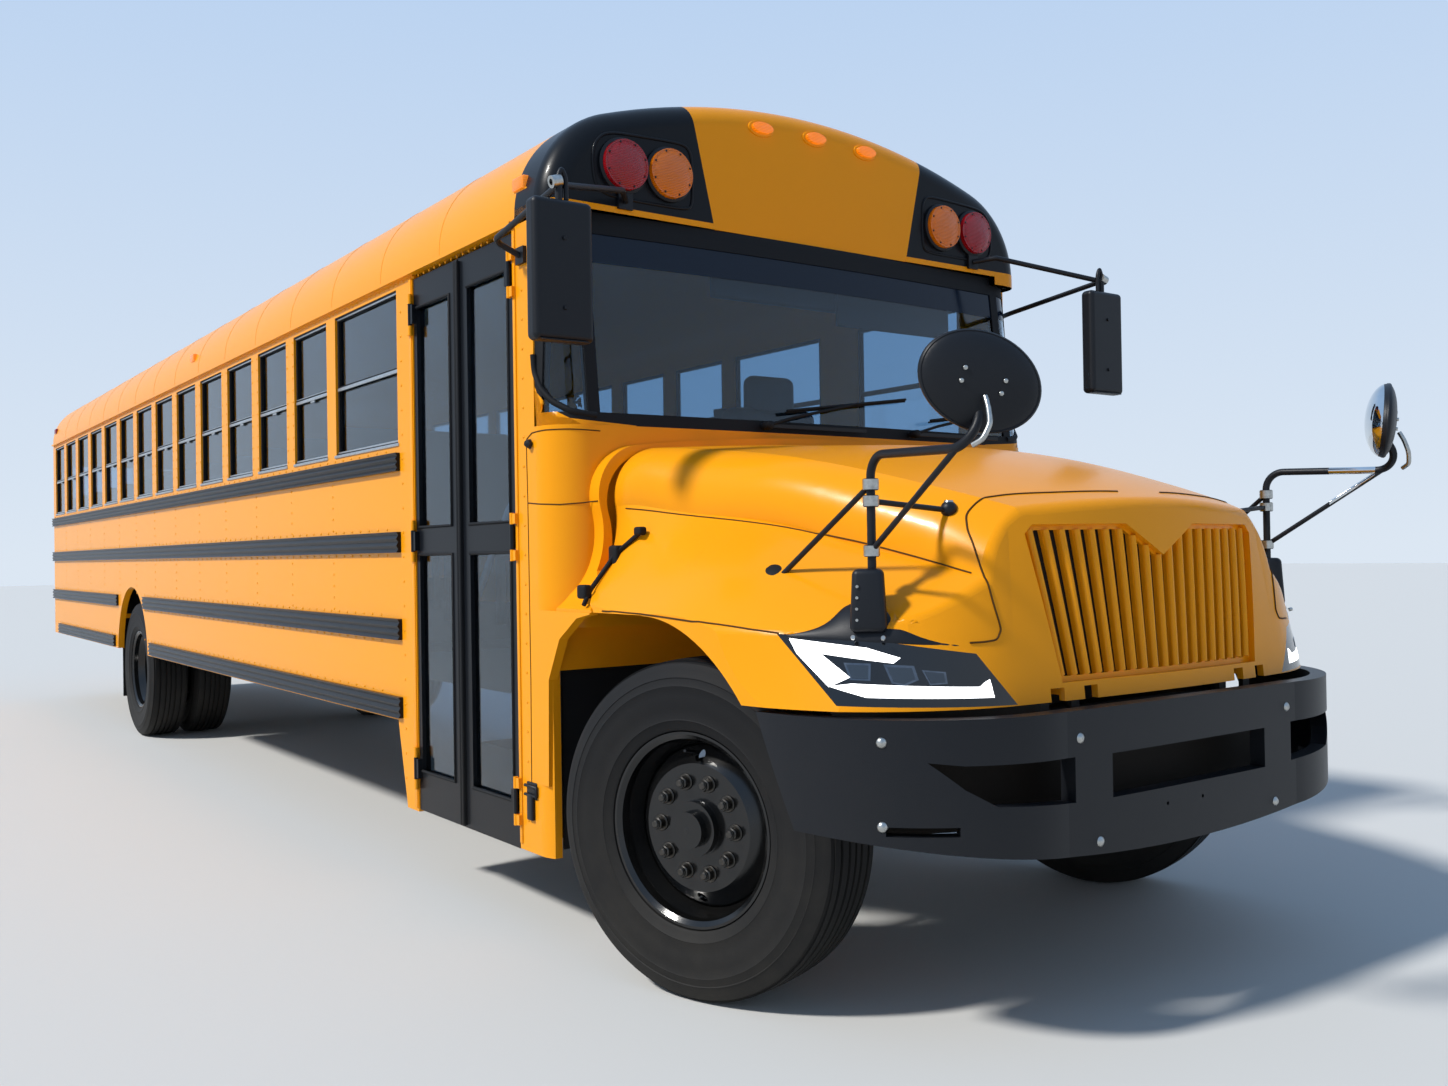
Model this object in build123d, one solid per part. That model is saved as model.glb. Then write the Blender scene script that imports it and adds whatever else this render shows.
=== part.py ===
from build123d import *
import math
import os

# School bus with a bonnet, full size, in millimetres.
# Origin: centre of the bounding box on the ground. +X forward, +Y left, +Z up.

# Driving dimensions, overall
BODY_WIDTH = 2438.0
BODY_REAR_X = -6110.0
REAR_BUMPER_X = -6180.0
FRONT_BUMPER_X = 6180.0
FRONT_AXLE_X = 5107.0
REAR_AXLE_X = -2380.0
ROOF_TOP_Z = 3115.0
CROWN_RADIUS = 3000.0
HAUNCH_RADIUS = 400.0
HALF = BODY_WIDTH / 2

# Clearances
GAP = 6.0
FIT = 0.3

# Body panels
WALL = 45.0
SKIRT_Z = 660.0
EAVE_Z = 2550.0
FLOOR_Z = 1000.0
FLOOR_T = 40.0
SIDE_IN = HALF - WALL
DRIP_DEPTH = 22.0
DRIP_HEIGHT = 14.0

# Hinges: barrel radius, pin radius, barrel length, ear length
HINGE_R = 9.0
HINGE_PIN = 4.5
HINGE_L = 90.0
EAR_L = 42.0
EAR_MID = HINGE_L / 2 + EAR_L / 2

# Side windows
WINDOW_COUNT = 13
WINDOW_FIRST_X = -5710.0
WINDOW_PITCH = 641.0
WINDOW_WIDTH = 510.0
WINDOW_LOW_Z = 1856.0
WINDOW_TOP_Z = 2518.0
SASH_BAR_Z = 2165.0
WIDE_WINDOW_X = 2752.0
WIDE_WINDOW_WIDTH = 781.0
DRIVER_WINDOW_X = 3800.0
DRIVER_WINDOW_WIDTH = 720.0
SASH_RIM = 18.0
SASH_DEPTH = 26.0
SASH_SETBACK = 12.0
BAR_HEIGHT = 22.0
GLASS_T = 6.0

# Rub rails: bottom, top of each rail
RAIL_T = 22.0
RAIL_FRONT_X = 3160.0
RAIL_BANDS = [(1736.0, 1814.0), (1384.0, 1473.0), (1008.0, 1098.0), (672.0, 762.0)]

# Entrance door
DOOR_REAR_X = 3320.0
DOOR_FRONT_X = 4245.0
DOOR_LOW_Z = 300.0
DOOR_TOP_Z = 2536.0
DOOR_SPLIT_X = 3770.0
DOOR_T = 40.0
DOOR_INSET = 4.0
TAIL_LOW_Z = 296.0
TAIL_REAR_X = 3104.0
TAIL_FOOT_X = 3199.0

# Front of the body
CAP_REAR_X = 4270.0
CAP_FACE_X = 4505.0
CAP_EDGE_R = 90.0
CAP_LOW_Z = 2585.0
SCREEN_LOW_Z = 1830.0
SCREEN_BASE_X = 4600.0
SCREEN_HEAD_X = 4515.0
COWL_TOP_Z = 1815.0
COWL_CORNER_R = 150.0
POST_REAR_X = DOOR_FRONT_X + GAP
POST_LOW_Z = 310.0

# Chassis
RAIL_Y = 430.0
RAIL_FLANGE = 70.0
RAIL_WEB = 9.0
RAIL_LOW_Z = 680.0
RAIL_HIGH_Z = 920.0
RAIL_REAR_X = BODY_REAR_X + WALL + 5.0
RAIL_NOSE_X = 5990.0

# Wheels
TYRE_R = 520.0
TYRE_W = 280.0
TYRE_SHOULDER = 45.0
RIM_R = 298.0
RIM_W = 230.0
BEAD_R = 286.0
DISC_T = 12.0
DISC_FLAT_R = 196.0
HAND_HOLE_AT = 218.0
HAND_HOLE_R = 17.0
FRONT_DISC = 70.0
DUAL_OUTER_Y = 1050.0
DUAL_INNER_Y = 730.0
FRONT_WHEEL_Y = 1030.0
KINGPIN_Y = 845.0
SPINDLE_R = 40.0
STEER_REST = 17.6
STEER_ARM = 200.0
STEER_ARM_Z = 435.0
STUD_CIRCLE_R = 142.9
STUD_COUNT = 10

# Cross view mirrors: centre of the right head, reach ahead of it, depths and size of the oval
VIEW_X = 6266.0
VIEW_Y = -981.0
VIEW_Z = 1769.0
VIEW_REACH = 80.0
VIEW_BACK = 35.0
VIEW_GLASS = 60.0
VIEW_LONG = 314.0
VIEW_SHORT = 238.0
VIEW_TURN = 29.7
VIEW_LEAN = 5.7
VIEW_TILT = 22.0

# Stations above are measured from midway between the bumpers.
# The saved origin is midway along the whole length, cross view mirrors included.
CENTRE_X = (REAR_BUMPER_X + VIEW_X + VIEW_REACH) / 2

# Hood
HOOD_T = 22.0
HOOD_REAR_X = 4630.0
HOOD_PIVOT_X = 6035.0
HOOD_PIVOT_Z = 958.0
ARCH_X = 5070.0
ARCH_Z = 560.0
ARCH_R = 610.0
HOOD_TAIL_Z = 1172.0

os.makedirs("parts", exist_ok=True)


def block(x0, x1, y0, y1, z0, z1):
    """A box from its six faces."""
    size = (abs(x1 - x0), abs(y1 - y0), abs(z1 - z0))
    centre = Vector((x0 + x1) / 2, (y0 + y1) / 2, (z0 + z1) / 2)
    return Pos(centre) * Box(*size)


def rod(start, end, radius):
    """A round bar between two points."""
    a, b = Vector(*start), Vector(*end)
    plane = Plane(origin=a, z_dir=b - a)
    return extrude(plane * Circle(radius), (b - a).length)


def bar_y(x, z, y0, y1, radius):
    return rod((x, min(y0, y1), z), (x, max(y0, y1), z), radius)


def post(x, y, z0, z1, radius):
    return rod((x, y, z0), (x, y, z1), radius)


def bent_tube(points, radius, bend):
    """A round tube along straight runs joined by arcs."""
    path = FilletPolyline(*points, radius=bend)
    plane = Plane(origin=path @ 0, z_dir=path % 0)
    return sweep(plane * Circle(radius), path=path)


def prism_xz(points, y0, y1):
    """An outline in side view, from y0 to y1."""
    face = make_face(Polyline(*[(x, 0, z) for x, z in points], close=True))
    return extrude(Pos(0, min(y0, y1), 0) * face, abs(y1 - y0), dir=(0, 1, 0))


def prism_yz(points, x0, x1):
    """An outline in front view, from x0 to x1."""
    face = make_face(Polyline(*[(0, y, z) for y, z in points], close=True))
    return extrude(Pos(min(x0, x1), 0, 0) * face, abs(x1 - x0), dir=(1, 0, 0))


def prism_xy(points, z0, z1):
    """An outline in plan, from z0 to z1."""
    face = make_face(Polyline(*[(x, y) for x, y in points], close=True))
    return extrude(Pos(0, 0, min(z0, z1)) * face, abs(z1 - z0), dir=(0, 0, 1))


def mirrored(shape):
    return mirror(shape, about=Plane.XZ)


def pair(shape):
    """A piece and its twin across the centre plane."""
    return solids_of([shape, mirrored(shape)])


def solids_of(shapes):
    found = []
    for shape in shapes:
        found.extend(shape.solids())
    return found


def save(name, shapes):
    """Write one node in the saved frame; separate solids stay separate."""
    if not isinstance(shapes, (list, tuple)):
        shapes = [shapes]
    found = [Pos(-CENTRE_X, 0, 0) * solid for solid in solids_of(shapes)]
    whole = found[0] if len(found) == 1 else Compound(children=found)
    whole.label = name
    export_step(whole, f"parts/{name}.step")


def roof_face(inset, low_z, x):
    """The roof section in front view, inset all round, cut off level at low_z."""
    half = HALF - inset
    crown = CROWN_RADIUS - inset
    haunch = HAUNCH_RADIUS - inset
    centre_y = HALF - HAUNCH_RADIUS
    crown_z = ROOF_TOP_Z - CROWN_RADIUS
    reach = CROWN_RADIUS - HAUNCH_RADIUS
    centre_z = crown_z + math.sqrt(reach**2 - centre_y**2)
    lean = math.atan2(centre_y, centre_z - crown_z)
    join = (crown * math.sin(lean), crown_z + crown * math.cos(lean))
    middle = (math.pi / 2 + lean) / 2
    belly = (centre_y + haunch * math.sin(middle), centre_z + haunch * math.cos(middle))
    edges = [
        Line((x, half, low_z), (x, half, centre_z)),
        ThreePointArc((x, half, centre_z), (x, *belly), (x, *join)),
        ThreePointArc((x, *join), (x, 0, ROOF_TOP_Z - inset), (x, -join[0], join[1])),
        ThreePointArc((x, -join[0], join[1]), (x, -belly[0], belly[1]), (x, -half, centre_z)),
        Line((x, -half, centre_z), (x, -half, low_z)),
        Line((x, -half, low_z), (x, half, low_z)),
    ]
    return make_face(edges)


def roof_solid(inset, low_z, x0, x1):
    return extrude(roof_face(inset, low_z, x0), x1 - x0, dir=(1, 0, 0))


def hinge(place):
    """A hinge along local Z at place: the leaf's barrel, the frame's ears with their pin."""
    half = HINGE_L / 2
    barrel = post(0, 0, -half, half, HINGE_R) - post(0, 0, -half - 1, half + 1, HINGE_PIN + FIT)
    ears = post(0, 0, -half - EAR_L, half + EAR_L, HINGE_PIN)
    for side in (-1, 1):
        near = side * (half + 1)
        far = side * (half + EAR_L)
        ears += post(0, 0, min(near, far), max(near, far), HINGE_R)
    return place * barrel, place * ears


# Windows of both sides: name of the wall, centre, width
regular = [WINDOW_FIRST_X + i * WINDOW_PITCH for i in range(WINDOW_COUNT)]
side_windows = [(x, WINDOW_WIDTH) for x in regular] + [(WIDE_WINDOW_X, WIDE_WINDOW_WIDTH)]
left_windows = side_windows + [(DRIVER_WINDOW_X, DRIVER_WINDOW_WIDTH)]


def window_hole(x, width, y0, y1, grow):
    w = width / 2 + grow
    return block(x - w, x + w, y0, y1, WINDOW_LOW_Z - grow, WINDOW_TOP_Z + grow)


# Side walls, from inside the rear wall to the door or the front post
rear_x = BODY_REAR_X + WALL
arch = Pos(REAR_AXLE_X, 0, 620.0) * Rot(90, 0, 0) * Cylinder(545.0, 4000.0)
right_outline = [
    (rear_x, SKIRT_Z),
    (TAIL_REAR_X, SKIRT_Z),
    (TAIL_FOOT_X, TAIL_LOW_Z),
    (DOOR_REAR_X, TAIL_LOW_Z),
    (DOOR_REAR_X, EAVE_Z),
    (rear_x, EAVE_Z),
]
wall_right = prism_xz(right_outline, -HALF, -SIDE_IN) - arch
for x, width in side_windows:
    wall_right -= window_hole(x, width, -HALF - 1, -SIDE_IN + 1, 0)
wall_left = block(rear_x, POST_REAR_X, SIDE_IN, HALF, SKIRT_Z, EAVE_Z) - arch
for x, width in left_windows:
    wall_left -= window_hole(x, width, SIDE_IN - 1, HALF + 1, 0)

# Sashes and panes
sashes, panes = [], []
for side, table in ((-1, side_windows), (1, left_windows)):
    out = side * (HALF - SASH_SETBACK)
    inn = side * (HALF - SASH_SETBACK - SASH_DEPTH)
    mid = (out + inn) / 2
    for x, width in table:
        sash = window_hole(x, width, out, inn, 0)
        sash -= window_hole(x, width, out + side, inn - side, -SASH_RIM)
        w = width / 2 - SASH_RIM
        sash += block(x - w, x + w, out, inn, SASH_BAR_Z, SASH_BAR_Z + BAR_HEIGHT)
        low = block(x - w, x + w, mid, mid + GLASS_T, WINDOW_LOW_Z + SASH_RIM, SASH_BAR_Z)
        top_low = SASH_BAR_Z + BAR_HEIGHT
        high = block(x - w, x + w, mid, mid + GLASS_T, top_low, WINDOW_TOP_Z - SASH_RIM)
        sashes.append(sash)
        panes.extend([low, high])

# Rub rails with three ridges each: band, rear end, front end
rails = []
breaks = [
    [(rear_x - 40, RAIL_FRONT_X)],
    [(rear_x - 40, RAIL_FRONT_X)],
    [(rear_x - 40, -2890.0), (-1920.0, RAIL_FRONT_X)],
    [(-5800.0, -3020.0), (-1720.0, RAIL_FRONT_X)],
]
for (low, high), runs in zip(RAIL_BANDS, breaks):
    step = (high - low) / 6
    ridge = [(HALF, low)]
    for i in range(7):
        depth = RAIL_T if i % 2 == 0 else RAIL_T * 0.6
        ridge.append((HALF + depth, low + i * step))
    ridge.append((HALF, high))
    for x0, x1 in runs:
        rails.extend(pair(prism_yz(ridge, x0, x1)))

# Roof with drip rails
roof = roof_solid(0, EAVE_Z, rear_x, CAP_REAR_X) - roof_solid(WALL, EAVE_Z - 1, rear_x - 1, CAP_REAR_X + 1)
for side in (-1, 1):
    roof += block(rear_x, CAP_REAR_X, side * (HALF - 5), side * (HALF + DRIP_DEPTH), EAVE_Z, EAVE_Z + DRIP_HEIGHT)

# Front cap: rounded front edge, hollow behind, split into centre and lamp corners
cap = roof_solid(0, EAVE_Z, CAP_REAR_X, CAP_FACE_X)
front_edges = cap.faces().sort_by(Axis.X)[-1].edges().filter_by(lambda e: e.center().Z > EAVE_Z + 1)
cap = fillet(front_edges, CAP_EDGE_R)
cap -= roof_solid(WALL, EAVE_Z - 1, CAP_REAR_X - 1, CAP_FACE_X - WALL)
cap -= block(CAP_FACE_X - WALL - 1, CAP_FACE_X + 1, -1050, 1050, EAVE_Z - 1, CAP_LOW_Z)
wedge = prism_yz([(-488, EAVE_Z - 10), (488, EAVE_Z - 10), (640, 3200), (-640, 3200)], CAP_REAR_X - 1, CAP_FACE_X + 1)
cap_centre = cap & wedge
cap_corners = solids_of([cap - wedge])

# Warning lamps: side, y, z of each lens; roof markers
LAMP_R = 90.0
LAMP_Z = 2757.0
RED_Y = 904.0
AMBER_Y = 709.0


def lens(x, y, z, radius, depth, facing):
    disc = Pos(x, y, z) * Rot(0, 90 * facing, 0) * Cylinder(radius, depth, align=(Align.CENTER, Align.CENTER, Align.MIN))
    return disc


red, amber = [], []
for side in (-1, 1):
    red.append(lens(CAP_FACE_X, side * RED_Y, LAMP_Z, LAMP_R, 34, 1))
    amber.append(lens(CAP_FACE_X, side * AMBER_Y, LAMP_Z, LAMP_R, 34, 1))
    red.append(lens(BODY_REAR_X, side * RED_Y, LAMP_Z - 20, LAMP_R, 34, -1))
    amber.append(lens(BODY_REAR_X, side * AMBER_Y, LAMP_Z - 20, LAMP_R, 34, -1))
    red.append(lens(BODY_REAR_X, side * 1000, 1250, 88, 30, -1))
    amber.append(lens(BODY_REAR_X, side * 780, 1250, 88, 30, -1))
    red.append(lens(BODY_REAR_X, side * 1000, 1560, 60, 26, -1))

# Rear wall, door opening, rear windows
EXIT_HALF = 330.0
EXIT_LOW_Z = FLOOR_Z + 10.0
EXIT_TOP_Z = 2340.0
rear = roof_solid(0, SKIRT_Z, BODY_REAR_X, rear_x)
rear -= block(BODY_REAR_X - 1, rear_x + 1, -EXIT_HALF, EXIT_HALF, EXIT_LOW_Z, EXIT_TOP_Z)
REAR_WINDOW = (470.0, 1040.0, 1856.0, 2360.0)
y0, y1, z0, z1 = REAR_WINDOW
for side in (-1, 1):
    rear -= block(BODY_REAR_X - 1, rear_x + 1, side * y0, side * y1, z0, z1)
    panes.append(block(BODY_REAR_X + 15, BODY_REAR_X + 15 + GLASS_T, side * y0, side * y1, z0, z1))

# Rear emergency door, hinged on the right
exit_y = EXIT_HALF - GAP
exit_door = block(BODY_REAR_X, BODY_REAR_X + DOOR_T, -exit_y, exit_y, EXIT_LOW_Z + GAP, EXIT_TOP_Z - GAP)
EXIT_PANES = [(-240.0, 240.0, 1856.0, 2260.0), (-240.0, 240.0, 1180.0, 1560.0)]
exit_glass = []
for y0, y1, z0, z1 in EXIT_PANES:
    exit_door -= block(BODY_REAR_X - 1, BODY_REAR_X + DOOR_T + 1, y0, y1, z0, z1)
    exit_glass.append(block(BODY_REAR_X + 15, BODY_REAR_X + 15 + GLASS_T, y0, y1, z0, z1))
exit_axis_x = BODY_REAR_X - 12.0
exit_axis_y = -EXIT_HALF
for z in (1150.0, 1700.0, 2220.0):
    barrel, ears = hinge(Pos(exit_axis_x, exit_axis_y, z))
    tab = block(exit_axis_x - 4, BODY_REAR_X + 1, exit_axis_y + 7, exit_axis_y + 50, z - 40, z + 40)
    exit_door += barrel + tab
    for side in (-1, 1):
        ear_z = z + side * EAR_MID
        ears += block(exit_axis_x - 4, BODY_REAR_X + 2, exit_axis_y - 9, exit_axis_y, ear_z - 18, ear_z + 18)
    rear += ears
exit_door += block(BODY_REAR_X - 40, BODY_REAR_X + 1, 250, 270, 1640, 1760)

# Entrance door leaves: name, hinge x, free edge x, pane x0, x1
LEAF_OUT = -HALF + DOOR_INSET
LEAF_IN = LEAF_OUT + DOOR_T
DOOR_AXIS_Y = -HALF - 12.0
DOOR_PANES = [(470.0, 1374.0), (1487.0, 2406.0)]
LEAVES = [
    ("rear", DOOR_REAR_X + GAP, DOOR_SPLIT_X - 5, 3355.0, 3685.0),
    ("front", DOOR_FRONT_X - GAP, DOOR_SPLIT_X + 5, 3848.0, 4200.0),
]
leaf_parts, leaf_glass, jamb_parts = {}, {}, {}
for name, edge_x, free_x, px0, px1 in LEAVES:
    away = 1 if name == "rear" else -1
    leaf = block(edge_x, free_x, LEAF_OUT, LEAF_IN, DOOR_LOW_Z + 6, DOOR_TOP_Z - 6)
    glass = []
    for z0, z1 in DOOR_PANES:
        leaf -= block(px0, px1, LEAF_OUT - 1, LEAF_IN + 1, z0, z1)
        glass.append(block(px0, px1, LEAF_OUT + 16, LEAF_OUT + 16 + GLASS_T, z0, z1))
    axis_x = edge_x - away * 3
    frames = []
    for z in (480.0, 1430.0, 2380.0):
        barrel, ears = hinge(Pos(axis_x, DOOR_AXIS_Y, z))
        leaf += barrel + block(axis_x + away * 7, axis_x + away * 30, DOOR_AXIS_Y - 4, LEAF_OUT + 1, z - 40, z + 40)
        for side in (-1, 1):
            ear_z = z + side * EAR_MID
            ears += block(axis_x - away * 30, axis_x, DOOR_AXIS_Y - 4, -HALF + 2, ear_z - 18, ear_z + 18)
        frames.append(ears)
    leaf_parts[name] = leaf
    leaf_glass[name] = glass
    jamb_parts[name] = frames
for ears in jamb_parts["rear"]:
    wall_right += ears


def plan_outline(front_x, z, inset):
    """The plan of the cowl and windscreen: flat face and round corners."""
    y = HALF - inset
    x = front_x - inset
    r = COWL_CORNER_R - inset
    bow = 40.0
    k = r * (1 - math.sqrt(0.5))
    edges = [
        Line((POST_REAR_X, y, z), (x - bow - r, y, z)),
        ThreePointArc((x - bow - r, y, z), (x - bow - k, y - k, z), (x - bow, y - r, z)),
        ThreePointArc((x - bow, y - r, z), (x, 0, z), (x - bow, r - y, z)),
        ThreePointArc((x - bow, r - y, z), (x - bow - k, k - y, z), (x - bow - r, -y, z)),
        Line((x - bow - r, -y, z), (POST_REAR_X, -y, z)),
        Line((POST_REAR_X, -y, z), (POST_REAR_X, y, z)),
    ]
    return make_face(edges)


def screen_solid(inset, z0, z1):
    """The slanted windscreen block between two heights."""
    def face_x(z):
        share = (z - COWL_TOP_Z) / (CAP_LOW_Z - COWL_TOP_Z)
        return SCREEN_BASE_X + share * (SCREEN_HEAD_X - SCREEN_BASE_X)
    return loft([plan_outline(face_x(z0), z0, inset), plan_outline(face_x(z1), z1, inset)], ruled=True)


# Windscreen surround and glass
SCREEN_TOP_Z = EAVE_Z
band = screen_solid(4, COWL_TOP_Z, SCREEN_TOP_Z) - screen_solid(34, COWL_TOP_Z - 1, SCREEN_TOP_Z + 1)
band -= block(POST_REAR_X - 1, 4400, -1300, 1300, 1700, 2700)
opening = block(4300, 4800, -1040, 1040, COWL_TOP_Z + 45, SCREEN_TOP_Z - 45)
for side in (-1, 1):
    opening += block(4440, 4800, side * 1085, side * 1300, COWL_TOP_Z + 45, SCREEN_TOP_Z - 45)
surround = band - opening
screen = screen_solid(10, COWL_TOP_Z, SCREEN_TOP_Z) - screen_solid(16, COWL_TOP_Z - 1, SCREEN_TOP_Z + 1)
screen_panes = solids_of([screen & opening])
panes.extend(screen_panes)

# Cowl: outer shell with firewall, posts and wheel arch bands
cowl_skin = extrude(plan_outline(SCREEN_BASE_X, POST_LOW_Z, 0), COWL_TOP_Z - POST_LOW_Z, dir=(0, 0, 1))
cowl_core = extrude(plan_outline(SCREEN_BASE_X, POST_LOW_Z - 1, WALL), COWL_TOP_Z - POST_LOW_Z - 39, dir=(0, 0, 1))
TOE_Z = 1110.0
TOE_X = 4480.0
cowl = cowl_skin - cowl_core - block(4200, TOE_X, -SIDE_IN, SIDE_IN, 200, COWL_TOP_Z - 40)
cowl -= block(TOE_X, 4800, -1300, 1300, 200, TOE_Z)
cowl -= block(4200, 4440, -SIDE_IN, SIDE_IN, 1700, 1900)
cowl += block(TOE_X - 25, TOE_X, -SIDE_IN, SIDE_IN, FLOOR_Z - FLOOR_T, TOE_Z + 1)
cowl += block(TOE_X - 25, 4590, -SIDE_IN, SIDE_IN, TOE_Z, TOE_Z + 25) & cowl_skin
post_top = block(POST_REAR_X, 4400, SIDE_IN, HALF, COWL_TOP_Z - 5, EAVE_Z)
cowl += post_top + mirrored(post_top)
for ears in jamb_parts["front"]:
    cowl += ears

# Floor, sills, wheel houses, entrance steps
floor_low = FLOOR_Z - FLOOR_T
floor = block(rear_x, TOE_X - 25, -SIDE_IN, SIDE_IN, floor_low, FLOOR_Z)
HOUSE_HALF = 640.0
HOUSE_Y = 565.0
HOUSE_T = 20.0
HOUSE_TOP_Z = 1185.0
wheel_houses = []
for side in (-1, 1):
    house = block(REAR_AXLE_X - HOUSE_HALF - HOUSE_T, REAR_AXLE_X + HOUSE_HALF + HOUSE_T,
                  side * (HOUSE_Y - HOUSE_T), side * SIDE_IN, floor_low, HOUSE_TOP_Z)
    floor -= house
    house -= block(REAR_AXLE_X - HOUSE_HALF, REAR_AXLE_X + HOUSE_HALF,
                   side * HOUSE_Y, side * (HALF + 1), 900, HOUSE_TOP_Z - HOUSE_T)
    wheel_houses.append(house)
STEP_T = 20.0
STEPS = [(-1170.0, 340.0), (-930.0, 560.0), (-710.0, 780.0), (-490.0, FLOOR_Z)]
floor -= block(DOOR_REAR_X, DOOR_FRONT_X, -1300, STEPS[-1][0] + STEP_T, 900, 1100)
stair_top = []
for (y, z), (next_y, next_z) in zip(STEPS[:-1], STEPS[1:]):
    stair_top += [(y, z), (next_y, z)]
stair_top.append(STEPS[-1])
stair = stair_top + [(STEPS[-1][0] + STEP_T, FLOOR_Z)]
for (y, z), (next_y, next_z) in zip(reversed(STEPS[:-1]), reversed(STEPS[1:])):
    stair += [(next_y + STEP_T, z - STEP_T), (y + STEP_T, z - STEP_T)]
stair[-1] = (STEPS[0][0], STEPS[0][1] - STEP_T)
entrance_steps = prism_yz(stair, DOOR_REAR_X, DOOR_FRONT_X)
SILL_STEP = 1180.0
for i in range(9):
    x = rear_x + 260 + i * SILL_STEP
    if abs(x - REAR_AXLE_X) < HOUSE_HALF + 60:
        floor += block(x - 40, x + 40, -540, 540, RAIL_HIGH_Z, floor_low)
    elif x > DOOR_REAR_X - 60:
        floor += block(x - 40, x + 40, STEPS[-1][0] + STEP_T, SIDE_IN, RAIL_HIGH_Z, floor_low)
    else:
        floor += block(x - 40, x + 40, -SIDE_IN, SIDE_IN, RAIL_HIGH_Z, floor_low)

# Chassis rails and cross members
web_out = RAIL_Y + RAIL_FLANGE / 2
web_in = RAIL_Y - RAIL_FLANGE / 2
rail = block(RAIL_REAR_X, RAIL_NOSE_X, web_in, web_out, RAIL_LOW_Z, RAIL_HIGH_Z)
rail -= block(RAIL_REAR_X - 1, RAIL_NOSE_X + 1, web_in - 1, web_out - RAIL_WEB,
              RAIL_LOW_Z + RAIL_WEB, RAIL_HIGH_Z - RAIL_WEB)
frame = rail + mirrored(rail)
CROSS_X = [-6020.0, -3500.0, -1300.0, 300.0, 1900.0, 3500.0, 5900.0]
for x in CROSS_X:
    frame += block(x - 40, x + 40, -web_out + RAIL_WEB - 1, web_out - RAIL_WEB + 1, 800, 890)

# Engine with gearbox, radiator
engine = block(4700, 5690, -320, 320, 640, 1340)
engine += rod((4700, 0, 720), (4200, 0, 700), 190) & block(4100, 4800, -300, 300, 500, 900)
for side in (-1, 1):
    for x in (4800.0, 5560.0):
        engine += block(x - 50, x + 50, side * 319, side * (web_out - RAIL_WEB), 760, 800)
radiator = block(5770, 5850, -360, 360, 720, 1400)
for side in (-1, 1):
    radiator += block(5785, 5835, side * 359, side * (web_out - RAIL_WEB), 760, 820)

# Front axle beam between the kingpins
EYE_R = 55.0
EYE_LOW_Z = 470.0
EYE_TOP_Z = 585.0
KINGPIN_R = 22.0
beam_half = [
    (0, 400), (330, 400), (470, 470), (KINGPIN_Y, EYE_LOW_Z), (KINGPIN_Y, EYE_TOP_Z - 15),
    (520, 560), (370, 560), (300, 490), (0, 490),
]
beam = prism_yz(beam_half, FRONT_AXLE_X - 45, FRONT_AXLE_X + 45)
beam += post(FRONT_AXLE_X, KINGPIN_Y, EYE_LOW_Z, EYE_TOP_Z, EYE_R)
beam -= post(FRONT_AXLE_X, KINGPIN_Y, EYE_LOW_Z - 5, EYE_TOP_Z + 5, KINGPIN_R + FIT)
front_axle = beam + mirrored(beam)

# Steering knuckle, straight ahead, left side
SPINDLE_END_Y = 1110.0


def knuckle_left():
    x, y = FRONT_AXLE_X, KINGPIN_Y
    fork = block(x - 45, x + 45, y, y + 95, EYE_LOW_Z - 55, EYE_TOP_Z + 50)
    fork += post(x, y, EYE_LOW_Z - 55, EYE_TOP_Z + 50, 45)
    fork -= block(x - 70, x + 70, y - 70, y + 68, EYE_LOW_Z - 6, EYE_TOP_Z + 6)
    fork += post(x, y, EYE_LOW_Z - 50, EYE_TOP_Z + 45, KINGPIN_R)
    fork += bar_y(x, TYRE_R, y + 70, SPINDLE_END_Y, SPINDLE_R)
    fork += bar_y(x, TYRE_R, y + 70, y + 100, 90)
    arm = block(x - STEER_ARM, x, y - 18, y + 18, STEER_ARM_Z - 18, STEER_ARM_Z + 18)
    arm += post(x - STEER_ARM, y, STEER_ARM_Z - 18, STEER_ARM_Z + 18, 26)
    arm += post(x - STEER_ARM, y, STEER_ARM_Z, STEER_ARM_Z + 62, 9)
    return fork + arm


def steered(shape, side):
    """Turn a straight front piece about its kingpin to the parked angle."""
    centre = (FRONT_AXLE_X, side * KINGPIN_Y, 0)
    return Pos(*centre) * Rot(0, 0, STEER_REST) * Pos(*[-c for c in centre]) * shape


straight_knuckle = knuckle_left()
knuckles = {1: steered(straight_knuckle, 1), -1: steered(mirrored(straight_knuckle), -1)}

# Tie rod, level with the arm ends, square to the bus at every lock
turn = math.radians(STEER_REST)
arm_end = (-STEER_ARM * math.cos(turn), -STEER_ARM * math.sin(turn))
rod_x = FRONT_AXLE_X + arm_end[0]
rod_z = STEER_ARM_Z + 42
rod_ends = [arm_end[1] - KINGPIN_Y, arm_end[1] + KINGPIN_Y]
tie_rod = bar_y(rod_x, rod_z, rod_ends[0], rod_ends[1], 17)
for y in rod_ends:
    tie_rod += post(rod_x, y, rod_z - 20, rod_z + 20, 24)
for y in rod_ends:
    tie_rod -= post(rod_x, y, rod_z - 30, rod_z + 30, 9 + FIT)

# Wheels: tyre and rim sections turned about the axle, at y = 0


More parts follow.
